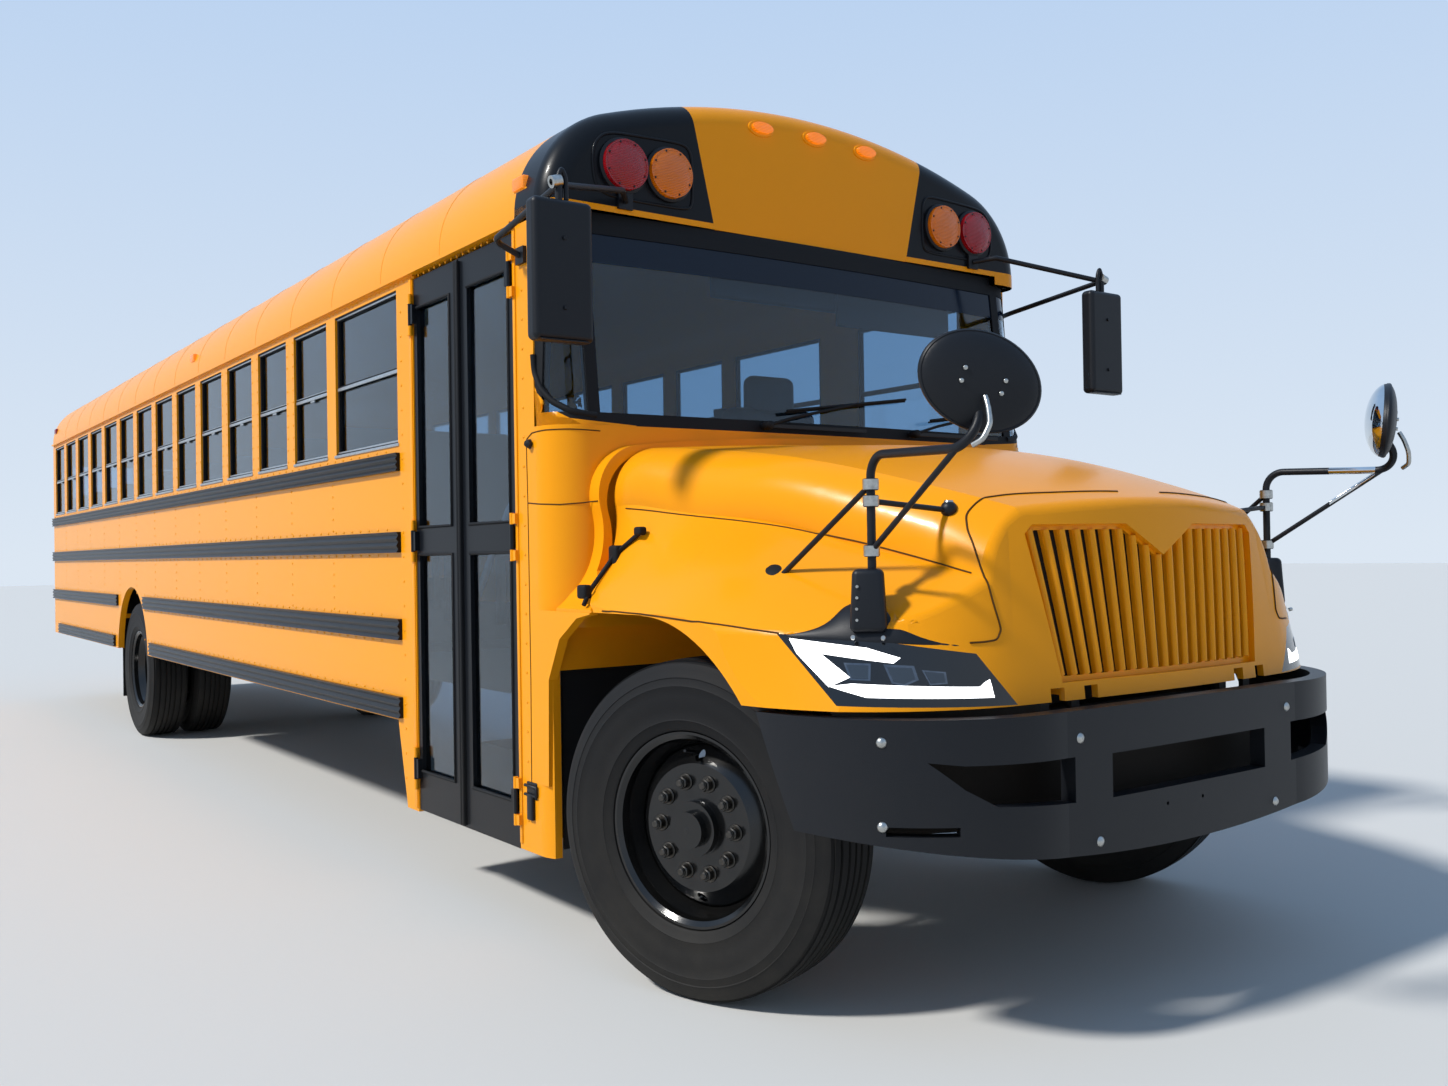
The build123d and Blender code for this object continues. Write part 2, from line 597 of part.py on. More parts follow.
def tyre_ring(y_centre):
    """Closed tyre section, revolved: bead, sidewall arc, shoulder arc, tread."""
    bead_r = BEAD_R + 0.5
    bead = RIM_W / 2 - 18
    w = TYRE_W / 2
    s = TYRE_SHOULDER
    knee = (RIM_R + 4, bead + 2)
    high = (TYRE_R - s, w - 10)
    edge = (TYRE_R, w - s)
    edges = [
        Line((bead_r, -bead), (knee[0], -knee[1])),
        ThreePointArc((knee[0], -knee[1]), (395.0, -w), (high[0], -high[1])),
        ThreePointArc((high[0], -high[1]), (TYRE_R - 13, -w + 22), (edge[0], -edge[1])),
        Line((edge[0], -edge[1]), edge),
        ThreePointArc(edge, (TYRE_R - 13, w - 22), high),
        ThreePointArc(high, (395.0, w), knee),
        Line(knee, (bead_r, bead)),
        Line((bead_r, bead), (bead_r, -bead)),
    ]
    return Pos(0, y_centre, 0) * revolve(make_face(edges), Axis.Y, 360)


def rim_ring(y_centre, disc, bore, face):
    """Drop-centre barrel and dished disc; the disc's flat lies at disc, on the side face."""
    w = RIM_W / 2
    well = BEAD_R - 24
    half = [(well, 30), (BEAD_R - 2, 78), (BEAD_R, w - 15), (RIM_R, w - 8), (RIM_R, w)]
    back = [(RIM_R - 8, w), (BEAD_R - 10, w - 11), (BEAD_R - 12, 74), (well - 10, 26)]
    outline = half + back + [(r, -y) for r, y in reversed(back)] + [(r, -y) for r, y in reversed(half)]
    barrel = revolve(make_face(Polyline(*outline, close=True)), Axis.Y, 360)
    dish = [
        (well - 5, 14), (well - 24, disc * 0.5), (DISC_FLAT_R, disc), (bore, disc),
        (bore, disc - DISC_T), (DISC_FLAT_R - 8, disc - DISC_T),
        (well - 35, disc * 0.5 - 8), (well - 15, 4), (well - 5, -4),
    ]
    rim = barrel + revolve(make_face(Polyline(*dish, close=True)), Axis.Y, 360)
    for side in (-1, 1):
        rim -= Pos(0, disc * 0.6, side * HAND_HOLE_AT) * Rot(90, 0, 0) * Cylinder(HAND_HOLE_R, 110)
    if face < 0:
        rim = mirrored(rim)
    return Pos(0, y_centre, 0) * rim


def at_axle(shape, x):
    return Pos(x, 0, TYRE_R) * shape


def front_wheel_left():
    """Straight-ahead front rim with hub, drum and studs, and its tyre."""
    y = FRONT_WHEEL_Y
    face_y = y + FRONT_DISC
    hub_end = SPINDLE_END_Y + 20
    hub = bar_y(0, 0, y - 40, hub_end, 84)
    hub += bar_y(0, 0, face_y - DISC_T - 18, face_y - DISC_T, DISC_FLAT_R - 14)
    hub += bar_y(0, 0, y - 90, y + 30, 205) - bar_y(0, 0, y - 91, y + 14, 190)
    hub += bar_y(0, 0, hub_end - 1, hub_end + 26, 56)
    for i in range(STUD_COUNT):
        angle = math.radians(36 * i)
        sx, sz = STUD_CIRCLE_R * math.cos(angle), STUD_CIRCLE_R * math.sin(angle)
        hub += bar_y(sx, sz, face_y - DISC_T - 5, face_y + 32, 15)
    rim = rim_ring(y, FRONT_DISC, 80, 1) + hub
    rim -= bar_y(0, 0, y - 100, SPINDLE_END_Y + 3, SPINDLE_R + FIT)
    return rim, tyre_ring(y)


front_rim, front_tyre = front_wheel_left()
front_rim, front_tyre = at_axle(front_rim, FRONT_AXLE_X), at_axle(front_tyre, FRONT_AXLE_X)

REAR_SPINDLE_END_Y = 1075.0
REAR_SPINDLE_R = 50.0


def rear_wheel_left():
    """Twin rims disc to disc on one hub with its drum, and the two tyres."""
    outer, inner = DUAL_OUTER_Y, DUAL_INNER_Y
    meet = (outer + inner) / 2
    rims = rim_ring(outer, outer - meet, 80, -1) + rim_ring(inner, meet - inner, 80, 1)
    rims += bar_y(0, 0, inner - 60, REAR_SPINDLE_END_Y + 20, 84)
    rims += bar_y(0, 0, meet - DISC_T - 18, meet - DISC_T, DISC_FLAT_R - 14)
    rims += bar_y(0, 0, inner - 90, meet - 60, 205) - bar_y(0, 0, inner - 91, meet - 76, 190)
    for i in range(STUD_COUNT):
        angle = math.radians(36 * i)
        sx, sz = STUD_CIRCLE_R * math.cos(angle), STUD_CIRCLE_R * math.sin(angle)
        rims += bar_y(sx, sz, meet + 2, meet + DISC_T + 34, 15)
    rims -= bar_y(0, 0, inner - 110, REAR_SPINDLE_END_Y + 3, REAR_SPINDLE_R + FIT)
    return rims, [tyre_ring(outer), tyre_ring(inner)]


rear_rim, rear_tyres = rear_wheel_left()
rear_rim = at_axle(rear_rim, REAR_AXLE_X)
rear_tyres = [at_axle(t, REAR_AXLE_X) for t in rear_tyres]

# Rear axle: tube, differential, spindles
rear_axle = bar_y(REAR_AXLE_X, TYRE_R, -610, 610, 70)
rear_axle += bar_y(REAR_AXLE_X, TYRE_R, -REAR_SPINDLE_END_Y, REAR_SPINDLE_END_Y, REAR_SPINDLE_R)
rear_axle += Pos(REAR_AXLE_X, 0, TYRE_R) * Sphere(200)
rear_axle += rod((REAR_AXLE_X, 0, 560), (REAR_AXLE_X + 300, 0, 590), 75)

# Leaf springs: axle x, half length, seat z
springs = []
for axle_x, half, seat_z in ((REAR_AXLE_X, 680.0, TYRE_R + 70), (FRONT_AXLE_X, 560.0, 560.0)):
    for i in range(4):
        reach = half * (1 - 0.18 * i)
        lift = (RAIL_LOW_Z - 22 - seat_z - 48) * (reach / half) ** 2
        z = seat_z + 36 - i * 12
        leaf = [
            ThreePointArc((axle_x - reach, 0, z + lift), (axle_x, 0, z), (axle_x + reach, 0, z + lift)),
            Line((axle_x + reach, 0, z + lift), (axle_x + reach, 0, z + lift + 12)),
            ThreePointArc((axle_x + reach, 0, z + lift + 12), (axle_x, 0, z + 12), (axle_x - reach, 0, z + lift + 12)),
            Line((axle_x - reach, 0, z + lift + 12), (axle_x - reach, 0, z + lift)),
        ]
        strip = extrude(Pos(0, RAIL_Y - 38, 0) * make_face(leaf), 76, dir=(0, 1, 0))
        spring = strip if i == 0 else spring + strip
    for end in (-1, 1):
        x = axle_x + end * (half - 20)
        z_eye = seat_z + 36 + (RAIL_LOW_Z - 22 - seat_z - 48)
        spring += block(x - 35, x + 35, RAIL_Y - 30, RAIL_Y + 30, z_eye, RAIL_LOW_Z)
    spring += block(axle_x - 60, axle_x + 60, RAIL_Y - 38, RAIL_Y + 38, seat_z, seat_z + 60)
    springs.extend(pair(spring))
rear_axle_seat = block(REAR_AXLE_X - 60, REAR_AXLE_X + 60, RAIL_Y - 38, RAIL_Y + 38, TYRE_R, TYRE_R + 70)
rear_axle += rear_axle_seat + mirrored(rear_axle_seat)

# Driveshaft with two carriers under cross members
shaft = rod((4190, 0, 700), (REAR_AXLE_X + 310, 0, 592), 45)
for x in (300.0, 1900.0):
    share = (x - 4190) / (REAR_AXLE_X + 310 - 4190)
    z = 700 + share * (592 - 700)
    shaft += bar_y(x, z, -1, 1, 1) + rod((x - 25, 0, z), (x + 25, 0, z), 70)
    shaft += block(x - 25, x + 25, -40, 40, z + 40, 800)

# Fuel tank between the rails behind the rear axle
tank = block(-5250, -3950, -350, 350, 460, 760)
tank = fillet(tank.edges().filter_by(Axis.X), 60)
for x in (-4950.0, -4250.0):
    tank += block(x - 40, x + 40, -web_in + 2, web_in - 2, 740, 800)
    for side in (-1, 1):
        tank += block(x - 40, x + 40, side * 340, side * (web_out - RAIL_WEB), 770, 800)

# Exhaust on the left: muffler and tail pipe
PIPE_Y = 528.0
exhaust = bent_tube([(4300, 380, 620), (3900, 520, 600), (2700, 620, 640)], 38, 90)
exhaust += rod((2710, 620, 640), (1500, 620, 640), 125)
exhaust += bent_tube([(1510, 620, 640), (900, PIPE_Y, 745), (-5400, PIPE_Y, 745), (-5700, PIPE_Y, 610), (-6160, PIPE_Y, 590)], 38, 120)
for x in (2500.0, 1700.0):
    exhaust += block(x - 20, x + 20, web_out, 640, 740, 790)
for x in (-1100.0, -3600.0):
    exhaust += block(x - 20, x + 20, web_out, PIPE_Y, 735, 755)

# Front bumper: plan outline, arc across the front and round the corners
BUMPER_T = 50.0
BUMPER_TOP_Z = 920.0
BUMPER_LOW_Z = 505.0
BUMPER_TAIL_X = 5590.0
BUMPER_TAIL_SLANT = 0.45
SLOT_X = 6006.0
SLOT_Y = 948.0
SLOT_Z = 630.0
SLOT_L = 190.0
SLOT_H = 25.0
SLOT_TURN = 56.0
PLATE_HOLES_Y = [-131.0, 39.0]
PLATE_HOLE_Z = 621.0
PLATE_HOLE_R = 5.5
LUG_DROP = 70.0
edges = [
    ThreePointArc((6172, -560), (FRONT_BUMPER_X, 0), (6172, 560)),
    ThreePointArc((6172, 560), (6050, 955), (5790, 1130)),
    ThreePointArc((5790, 1130), (5690, 1158), (BUMPER_TAIL_X, 1168)),
    Line((BUMPER_TAIL_X, 1168), (BUMPER_TAIL_X, -1168)),
    ThreePointArc((BUMPER_TAIL_X, -1168), (5690, -1158), (5790, -1130)),
    ThreePointArc((5790, -1130), (6050, -955), (6172, -560)),
]
bumper_face = make_face(edges)
bumper_core = offset(bumper_face, -BUMPER_T)
bumper = extrude(Pos(0, 0, BUMPER_LOW_Z) * bumper_face, BUMPER_TOP_Z - BUMPER_LOW_Z)
bumper -= extrude(Pos(0, 0, BUMPER_LOW_Z - 1) * bumper_core, BUMPER_TOP_Z)
tail_span = BUMPER_TOP_Z - BUMPER_LOW_Z
tail_cut = [
    (BUMPER_TAIL_X - 90, BUMPER_TOP_Z + 1),
    (BUMPER_TAIL_X, BUMPER_TOP_Z + 1),
    (BUMPER_TAIL_X + tail_span * BUMPER_TAIL_SLANT, BUMPER_LOW_Z - 1),
    (BUMPER_TAIL_X - 90, BUMPER_LOW_Z - 1),
]
bumper -= prism_xz(tail_cut, -1300, 1300)
bumper -= block(5500, 5700, -1118, 1118, 400, 1000)
chin = [Line((0, -1300, 300), (0, 1300, 300)), Line((0, 1300, 300), (0, 1300, 640)),
        ThreePointArc((0, 1300, 640), (0, 0, BUMPER_LOW_Z), (0, -1300, 640)), Line((0, -1300, 640), (0, -1300, 300))]
bumper -= extrude(Pos(5400, 0, 0) * make_face(chin), 1000, dir=(1, 0, 0))
bumper -= block(5900, 6300, -376, 376, 668, 790)
side_hole = [(530, 672), (530, 795), (880, 800), (960, 810), (880, 738), (800, 690)]
for side in (-1, 1):
    bumper -= prism_yz([(side * y, z) for y, z in side_hole], 5900, 6300)
for side in (-1, 1):
    bumper += block(RAIL_NOSE_X, 6140, side * web_in, side * web_out, 790, RAIL_HIGH_Z - LUG_DROP)
    bumper -= Pos(SLOT_X, side * SLOT_Y, SLOT_Z) * Rot(0, 0, -side * SLOT_TURN) * Box(SLOT_L, 200, SLOT_H)
for y in PLATE_HOLES_Y:
    bumper -= rod((6100, y, PLATE_HOLE_Z), (6200, y, PLATE_HOLE_Z), PLATE_HOLE_R)

# Rear bumper
rear_bumper = block(REAR_BUMPER_X, BODY_REAR_X, -HALF + 5, HALF - 5, 690, 930)
rear_bumper = fillet(rear_bumper.edges().filter_by(Axis.Z).sort_by(Axis.X)[:2], 55)
for side in (-1, 1):
    rear_bumper += block(BODY_REAR_X - 1, rear_x - 20, side * 500, side * 600, 760, 860) - rear

# Hood sections from the cowl to the nose
# x, side y, shoulder z, fender bulge, crease y, crease z, brow bulge, corner y, corner z, top z
HOOD_SECTIONS = [
    (HOOD_REAR_X, 1205.0, 1180.0, -60.0, 1030.0, 1525.0, 52.0, 892.0, 1730.0, 1757.0),
    (4850.0, 1208.0, 1183.0, -5.0, 979.0, 1510.0, 50.0, 855.0, 1716.0, 1752.0),
    (5150.0, 1208.0, 1178.0, 22.0, 907.0, 1474.0, 47.0, 795.0, 1682.0, 1733.0),
    (5450.0, 1198.0, 1140.0, 30.0, 834.0, 1420.0, 42.0, 735.0, 1628.0, 1692.0),
    (5700.0, 1160.0, 1065.0, 28.0, 773.0, 1356.0, 36.0, 665.0, 1566.0, 1628.0),
    (5880.0, 1090.0, 1025.0, 24.0, 730.0, 1314.0, 30.0, 612.0, 1516.0, 1572.0),
    (6000.0, 1010.0, 1000.0, 20.0, 701.0, 1284.0, 26.0, 560.0, 1478.0, 1530.0),
    (6140.0, 900.0, 980.0, 16.0, 668.0, 1250.0, 22.0, 520.0, 1430.0, 1484.0),
]
HOOD_LOW_Z = 935.0
# Nose in plan: height, centre x, face corner x and y, cheek x and y, start of the sides x
NOSE_LOW = (930.0, 6112.0, 6079.0, 652.0, 5847.0, 1090.0, 5450.0)
NOSE_HIGH = (1560.0, 6076.0, 5996.0, 590.0, 5800.0, 860.0, 5300.0)
NOSE_SIDE_Y = 1212.0
NOSE_REAR_X = 4500.0
NOSE_EDGE_R = 40.0


def bulged(start, end, bulge):
    """The middle of a chord seen from ahead, pushed out by the bulge."""
    (y0, z0), (y1, z1) = start, end
    length = math.hypot(y1 - y0, z1 - z0)
    return ((y0 + y1) / 2 + (z1 - z0) / length * bulge, (z0 + z1) / 2 - (y1 - y0) / length * bulge)


def hood_section(row, inset):
    """One cross section of the hood, moved in by the inset."""
    x, side_y, shoulder_z, fender_bulge, crease_y, crease_z, brow_bulge, corner_y, corner_z, top_z = row
    side_y -= inset
    shoulder_z -= inset * 0.6
    crease_y -= inset * 0.8
    crease_z -= inset * 0.5
    corner_y -= inset * 0.7
    corner_z -= inset * 0.8
    top_z -= inset
    low_z = HOOD_LOW_Z - (1 if inset else 0)
    shoulder, crease, corner = (side_y, shoulder_z), (crease_y, crease_z), (corner_y, corner_z)
    belly = bulged(shoulder, crease, fender_bulge)
    brow = bulged(crease, corner, brow_bulge)
    edges = [
        Line((x, side_y, low_z), (x, *shoulder)),
        ThreePointArc((x, *shoulder), (x, *belly), (x, *crease)),
        ThreePointArc((x, *crease), (x, *brow), (x, *corner)),
        ThreePointArc((x, *corner), (x, 0, top_z), (x, -corner_y, corner_z)),
        ThreePointArc((x, -corner_y, corner_z), (x, -brow[0], brow[1]), (x, -crease_y, crease_z)),
        ThreePointArc((x, -crease_y, crease_z), (x, -belly[0], belly[1]), (x, -side_y, shoulder_z)),
        Line((x, -side_y, shoulder_z), (x, -side_y, low_z)),
        Line((x, -side_y, low_z), (x, side_y, low_z)),
    ]
    return make_face(edges)


def nose_plan(z, inset):
    """The plan of the nose at one height, moved in by the inset."""
    share = (z - NOSE_LOW[0]) / (NOSE_HIGH[0] - NOSE_LOW[0])
    row = [low + share * (high - low) for low, high in zip(NOSE_LOW, NOSE_HIGH)]
    centre_x, face_x, face_y, cheek_x, cheek_y, side_x = row[1:]
    centre_x -= inset
    face_x -= inset * 0.95
    face_y -= inset * 0.4
    cheek_x -= inset * 0.6
    cheek_y -= inset * 0.8
    side_y = NOSE_SIDE_Y - inset
    bend_x, bend_y = (face_x + cheek_x) / 2 + 42, (face_y + cheek_y) / 2 + 22
    wing_x, wing_y = (cheek_x + side_x) / 2 + 12, (cheek_y + side_y) / 2 + 18
    edges = [
        ThreePointArc((face_x, -face_y, z), (centre_x, 0, z), (face_x, face_y, z)),
        ThreePointArc((face_x, face_y, z), (bend_x, bend_y, z), (cheek_x, cheek_y, z)),
        ThreePointArc((cheek_x, cheek_y, z), (wing_x, wing_y, z), (side_x, side_y, z)),
        Line((side_x, side_y, z), (NOSE_REAR_X, side_y, z)),
        Line((NOSE_REAR_X, side_y, z), (NOSE_REAR_X, -side_y, z)),
        Line((NOSE_REAR_X, -side_y, z), (side_x, -side_y, z)),
        ThreePointArc((side_x, -side_y, z), (wing_x, -wing_y, z), (cheek_x, -cheek_y, z)),
        ThreePointArc((cheek_x, -cheek_y, z), (bend_x, -bend_y, z), (face_x, -face_y, z)),
    ]
    return make_face(edges)


def nose_solid(inset):
    """Everything behind the nose surface."""
    return loft([nose_plan(900, inset), nose_plan(1900, inset)], ruled=True)


def rounded_nose(shape):
    """Round the edges where the nose meets the top of the hood."""
    edges = []
    for edge in shape.edges():
        box = edge.bounding_box()
        tail_end = box.min.X < 5460 and box.max.X < 5650
        if box.min.X > 5440 and box.min.Z > 1100 and not tail_end:
            edges.append(edge)
    return fillet(edges, NOSE_EDGE_R)


hood_outer = rounded_nose(loft([hood_section(row, 0) for row in HOOD_SECTIONS]) & nose_solid(0))
inner_rows = [list(row) for row in HOOD_SECTIONS]
inner_rows[0][0] -= 2
hood_inner = loft([hood_section(row, HOOD_T) for row in inner_rows]) & nose_solid(HOOD_T)
hood_skin = hood_outer - hood_inner
arch_cut = Pos(ARCH_X, 0, ARCH_Z) * Rot(90, 0, 0) * Cylinder(ARCH_R, 4000)
HOOD_CORNER = [(HOOD_REAR_X, 1313.0), (4700.0, 1247.0), (4774.0, 1180.0)]
corner_cut = HOOD_CORNER + [(4774, 1100), (4500, 1100), (4500, 1313)]
hood = hood_skin - arch_cut
hood -= block(4600, ARCH_X, -1300, 1300, 800, HOOD_TAIL_Z)
hood -= prism_xz(corner_cut, -1300, 1300)

# Fairing of the cowl round the rear of the hood, and the corner panels behind the front wheels
FAIRING = (4530.0, 1212.0, 1180.0, -60.0, 1088.0, 1528.0, 60.0, 930.0, 1745.0, 1797.0)
FAIRING_T = 40.0
fairing = extrude(hood_section(FAIRING, 0), 240, dir=(1, 0, 0))
fairing -= Pos(-1, 0, 0) * extrude(hood_section(FAIRING, FAIRING_T), 242, dir=(1, 0, 0))
fairing_low_z = HOOD_TAIL_Z - 2
corner_edge = [(x - GAP, z - GAP) for x, z in HOOD_CORNER]
corner_side = [(4500, fairing_low_z), (corner_edge[2][0], fairing_low_z)] + corner_edge[::-1] + [(4500, corner_edge[0][1])]
cowl += fairing & block(4500, HOOD_REAR_X - GAP, -1300, 1300, corner_edge[0][1], COWL_TOP_Z)
band_outline = [
    (4400, 560), (4470, 560), (4480, 930), (4560, 1075), (4680, 1150), (corner_edge[2][0], HOOD_TAIL_Z - GAP),
    (corner_edge[2][0], fairing_low_z + 1), (4400, fairing_low_z + 1),
]
corner_panel = fairing & prism_xz(corner_side, -1300, 0)
corner_panel += prism_xz(band_outline, -HALF, -SIDE_IN - 10)
corner_panel -= cowl

# Hood hinges on lugs ahead of the chassis rails
LUG_T = 25.0
LUG_HALF = 38.0
NOTCH_TOP_Z = 972.0
lug_low_z = RAIL_HIGH_Z - LUG_DROP
lug_front_x = HOOD_PIVOT_X + HINGE_R
lug_reach = EAR_MID + EAR_L / 2
for side in (-1, 1):
    y = side * RAIL_Y
    barrel, ears = hinge(Pos(HOOD_PIVOT_X, y, HOOD_PIVOT_Z) * Rot(90, 0, 0))
    ears += block(RAIL_NOSE_X - 40, lug_front_x, y - lug_reach, y + lug_reach, lug_low_z, lug_low_z + LUG_T)
    for end in (-1, 1):
        ear_y = y + end * EAR_MID
        hood -= block(6020, 6150, ear_y - EAR_L / 2 - GAP, ear_y + EAR_L / 2 + GAP, HOOD_LOW_Z - 2, NOTCH_TOP_Z)
        ears += block(HOOD_PIVOT_X - 8, HOOD_PIVOT_X + 8, ear_y - 18, ear_y + 18, lug_low_z, HOOD_PIVOT_Z)
    hood += barrel + block(HOOD_PIVOT_X + 7, 6084, y - LUG_HALF, y + LUG_HALF, HOOD_PIVOT_Z - 8, HOOD_PIVOT_Z + 8)
    frame += ears

# Grille: opening with a V at the top centre, bars that follow the nose
GRILLE_LOW_Z = 985.0
GRILLE_TOP_Z = 1429.0
grille_shape = [
    (-474, GRILLE_LOW_Z), (474, GRILLE_LOW_Z), (480, 1020), (552, 1400), (523, 1427), (165, GRILLE_TOP_Z), (0, 1336),
    (-165, GRILLE_TOP_Z), (-523, 1427), (-552, 1400), (-480, 1020),
]
hood -= prism_yz(grille_shape, 5900, 6200)
BAR_COUNT = 9
BAR_DEPTH = 32.0
BAR_LOW = (50.0, 11.0)
BAR_HIGH = (58.0, 14.0)
behind_low_z = GRILLE_LOW_Z - 10
behind_top_z = GRILLE_TOP_Z + 14
behind_wall = (hood_inner - nose_solid(HOOD_T + BAR_DEPTH)) & block(5800, 6200, -700, 700, behind_low_z, behind_top_z)
open_middle = [(y * 0.95, 1200 + (z - 1200) * 0.93) for y, z in grille_shape]
grille = behind_wall & prism_yz([(-500, behind_low_z), (500, behind_low_z), (578, behind_top_z), (-578, behind_top_z)], 5900, 6200)
grille -= prism_yz(open_middle, 5800, 6200)
for i in range(-BAR_COUNT, BAR_COUNT + 1):
    low_y, low_half = i * BAR_LOW[0], BAR_LOW[1]
    high_y, high_half = i * BAR_HIGH[0], BAR_HIGH[1]
    bar = [
        (low_y - low_half, behind_low_z), (low_y + low_half, behind_low_z),
        (high_y + high_half, behind_top_z), (high_y - high_half, behind_top_z),
    ]
    grille += behind_wall & prism_yz(bar, 5900, 6200)

# Headlamps and aprons at the hood's front corners
lamp_dir = Plane(origin=(0, 0, 0), x_dir=(math.sin(math.radians(45)), math.cos(math.radians(45)), 0), z_dir=(math.sqrt(0.5), -math.sqrt(0.5), 0))


def corner_prism(points):
    """An outline seen from 45 degrees ahead of the right corner."""
    face = make_face(Polyline(*[lamp_dir.from_local_coords((s, z)) for s, z in points], close=True))
    return extrude(face, 5600, dir=(math.sqrt(0.5), -math.sqrt(0.5), 0)) - block(-9000, 9000, 0, 9000, -100, 9000)


LAMP_OUTLINE = [(3190, 1135), (3360, 950), (3840, 938), (3730, 1080), (3400, 1130)]
lamp_prism = corner_prism(LAMP_OUTLINE)
headlamp = hood_skin & lamp_prism
hood -= lamp_prism
hood -= mirrored(lamp_prism)

# Apron over the headlamp with the mirror tower
TOWER_X = 5848.0
TOWER_Y = -975.0
TOWER_TOP_Z = 1310.0
APRON_OUTLINE = [
    (5657, -1116), (5714, -1070), (5746, -1018), (5750, -981), (5851, -914), (5911, -920), (5970, -867),
    (6021, -776), (6150, -776), (6150, -1300), (5657, -1300),
]
apron_zone = prism_xy(APRON_OUTLINE, 1078, 1400) - lamp_prism - block(5600, 5700, -1300, -1000, 1000, 1120)
hood -= apron_zone
hood -= mirrored(apron_zone)
tower_foot = Pos(TOWER_X, TOWER_Y, 1080) * Rot(0, 0, 45) * RectangleRounded(84, 84, 16)
tower_head = Pos(TOWER_X, TOWER_Y, TOWER_TOP_Z) * Rot(0, 0, 45) * RectangleRounded(60, 60, 14)
apron = hood_skin & apron_zone
apron += loft([tower_foot, tower_head]) - hood_outer

# Cross view mirror on the right fender: post, arm, braces, oval head
POST_R = 12.0
BRACE_R = 8.0
POST_AT = (5848.0, -960.0)
ARM_Z = 1620.0
view_place = Pos(VIEW_X, VIEW_Y, VIEW_Z) * Rot(0, 0, -VIEW_TURN) * Rot(0, VIEW_LEAN, 0) * Rot(-VIEW_TILT, 0, 0)
view_back = scale(Sphere(0.5), by=(2 * VIEW_BACK, VIEW_LONG, VIEW_SHORT)) & Pos(100, 0, 0) * Box(200, 400, 400)
view_glass = scale(Sphere(0.5), by=(2 * VIEW_GLASS, VIEW_LONG, VIEW_SHORT)) & Pos(-100, 0, 0) * Box(200, 400, 400)
mirror_head = view_place * (view_back + view_glass)
arm_end = (6300, -1040, ARM_Z - 16)
mirror_tube = bent_tube([(*POST_AT, TOWER_TOP_Z), (*POST_AT, ARM_Z), arm_end, (VIEW_X, VIEW_Y, VIEW_Z - 60)], POST_R, 60)
for z in (1360.0, 1495.0, 1540.0):
    mirror_tube += post(*POST_AT, z - 16, z + 16, POST_R + 8)
mirror_tube += rod((*POST_AT, 1360), (6230, -1028, ARM_Z - 14), BRACE_R)
mirror_tube += rod((*POST_AT, 1540), (5472, -1002, 1270), BRACE_R) - hood_outer
mirror_tube += rod((*POST_AT, 1495), (5862, -640, 1469), BRACE_R) - hood_outer
mirror_tube += Pos(5862, -676, 1475) * Sphere(24) - hood_outer

# Flat mirrors on tubes from the front posts and the cap
FLAT_X = 4850.0
FLAT_TOP_Z = 2485.0
FLAT_LOW_Z = 2035.0
FLAT_EDGE_R = 20.0
flat_box = block(FLAT_X - 32, FLAT_X + 32, -1462, -1247, FLAT_LOW_Z, FLAT_TOP_Z)
flat_box = fillet(flat_box.edges(), FLAT_EDGE_R)
flat_box += post(FLAT_X, -1355, FLAT_TOP_Z - 5, FLAT_TOP_Z + 70, 12)
FLAT_ROD = 11.0
lower_arm = bent_tube([(4330, -HALF - 12, 2430), (4330, -1330, 2470), (FLAT_X, -1355, FLAT_TOP_Z + 50)], FLAT_ROD, 40)
lower_arm += block(4300, 4360, -HALF - 14, -HALF, 2400, 2460)
upper_arm = bent_tube([(CAP_FACE_X + 12, -900, 2630), (CAP_FACE_X + 90, -960, 2640), (FLAT_X, -1355, FLAT_TOP_Z + 50)], FLAT_ROD, 40)
upper_arm += block(CAP_FACE_X, CAP_FACE_X + 14, -930, -870, 2600, 2660)

# Seats: bench rows either side of the aisle, driver's seat
BENCH_PITCH = 660.0
BENCH_COUNT = 13
BENCH_W = 940.0
BENCH_GAP = 20.0
LEG_Y = 300.0
LEG_W = 40.0
seats = []
seat_frames = []
for row in range(BENCH_COUNT):
    x = -5700 + row * BENCH_PITCH
    profile = [
        (x, FLOOR_Z + 360), (x + 420, FLOOR_Z + 380), (x + 420, FLOOR_Z + 480), (x + 110, FLOOR_Z + 460),
        (x + 20, FLOOR_Z + 1000), (x - 70, FLOOR_Z + 1000),
    ]
    bench = prism_xz(profile, SIDE_IN - BENCH_GAP - BENCH_W, SIDE_IN - BENCH_GAP)
    hoop = block(x + 40, x + 380, LEG_Y, LEG_Y + LEG_W, FLOOR_Z, FLOOR_Z + 400)
    hoop -= block(x + 40 + LEG_W, x + 380 - LEG_W, LEG_Y - 1, LEG_Y + LEG_W + 1, FLOOR_Z - 1, FLOOR_Z + 340)
    wall_rail = block(x + 40, x + 380, SIDE_IN - BENCH_GAP, SIDE_IN, FLOOR_Z + 380, FLOOR_Z + 420)
    seat_frames.extend(pair(hoop - bench))
    seats.extend(pair(bench + wall_rail))
driver = prism_xz([(3420, 1360), (3870, 1380), (3870, 1480), (3530, 1460), (3440, 2060), (3360, 2060)], 300, 780)
driver += block(3520, 3760, 440, 640, FLOOR_Z, 1370)
seats.append(driver)

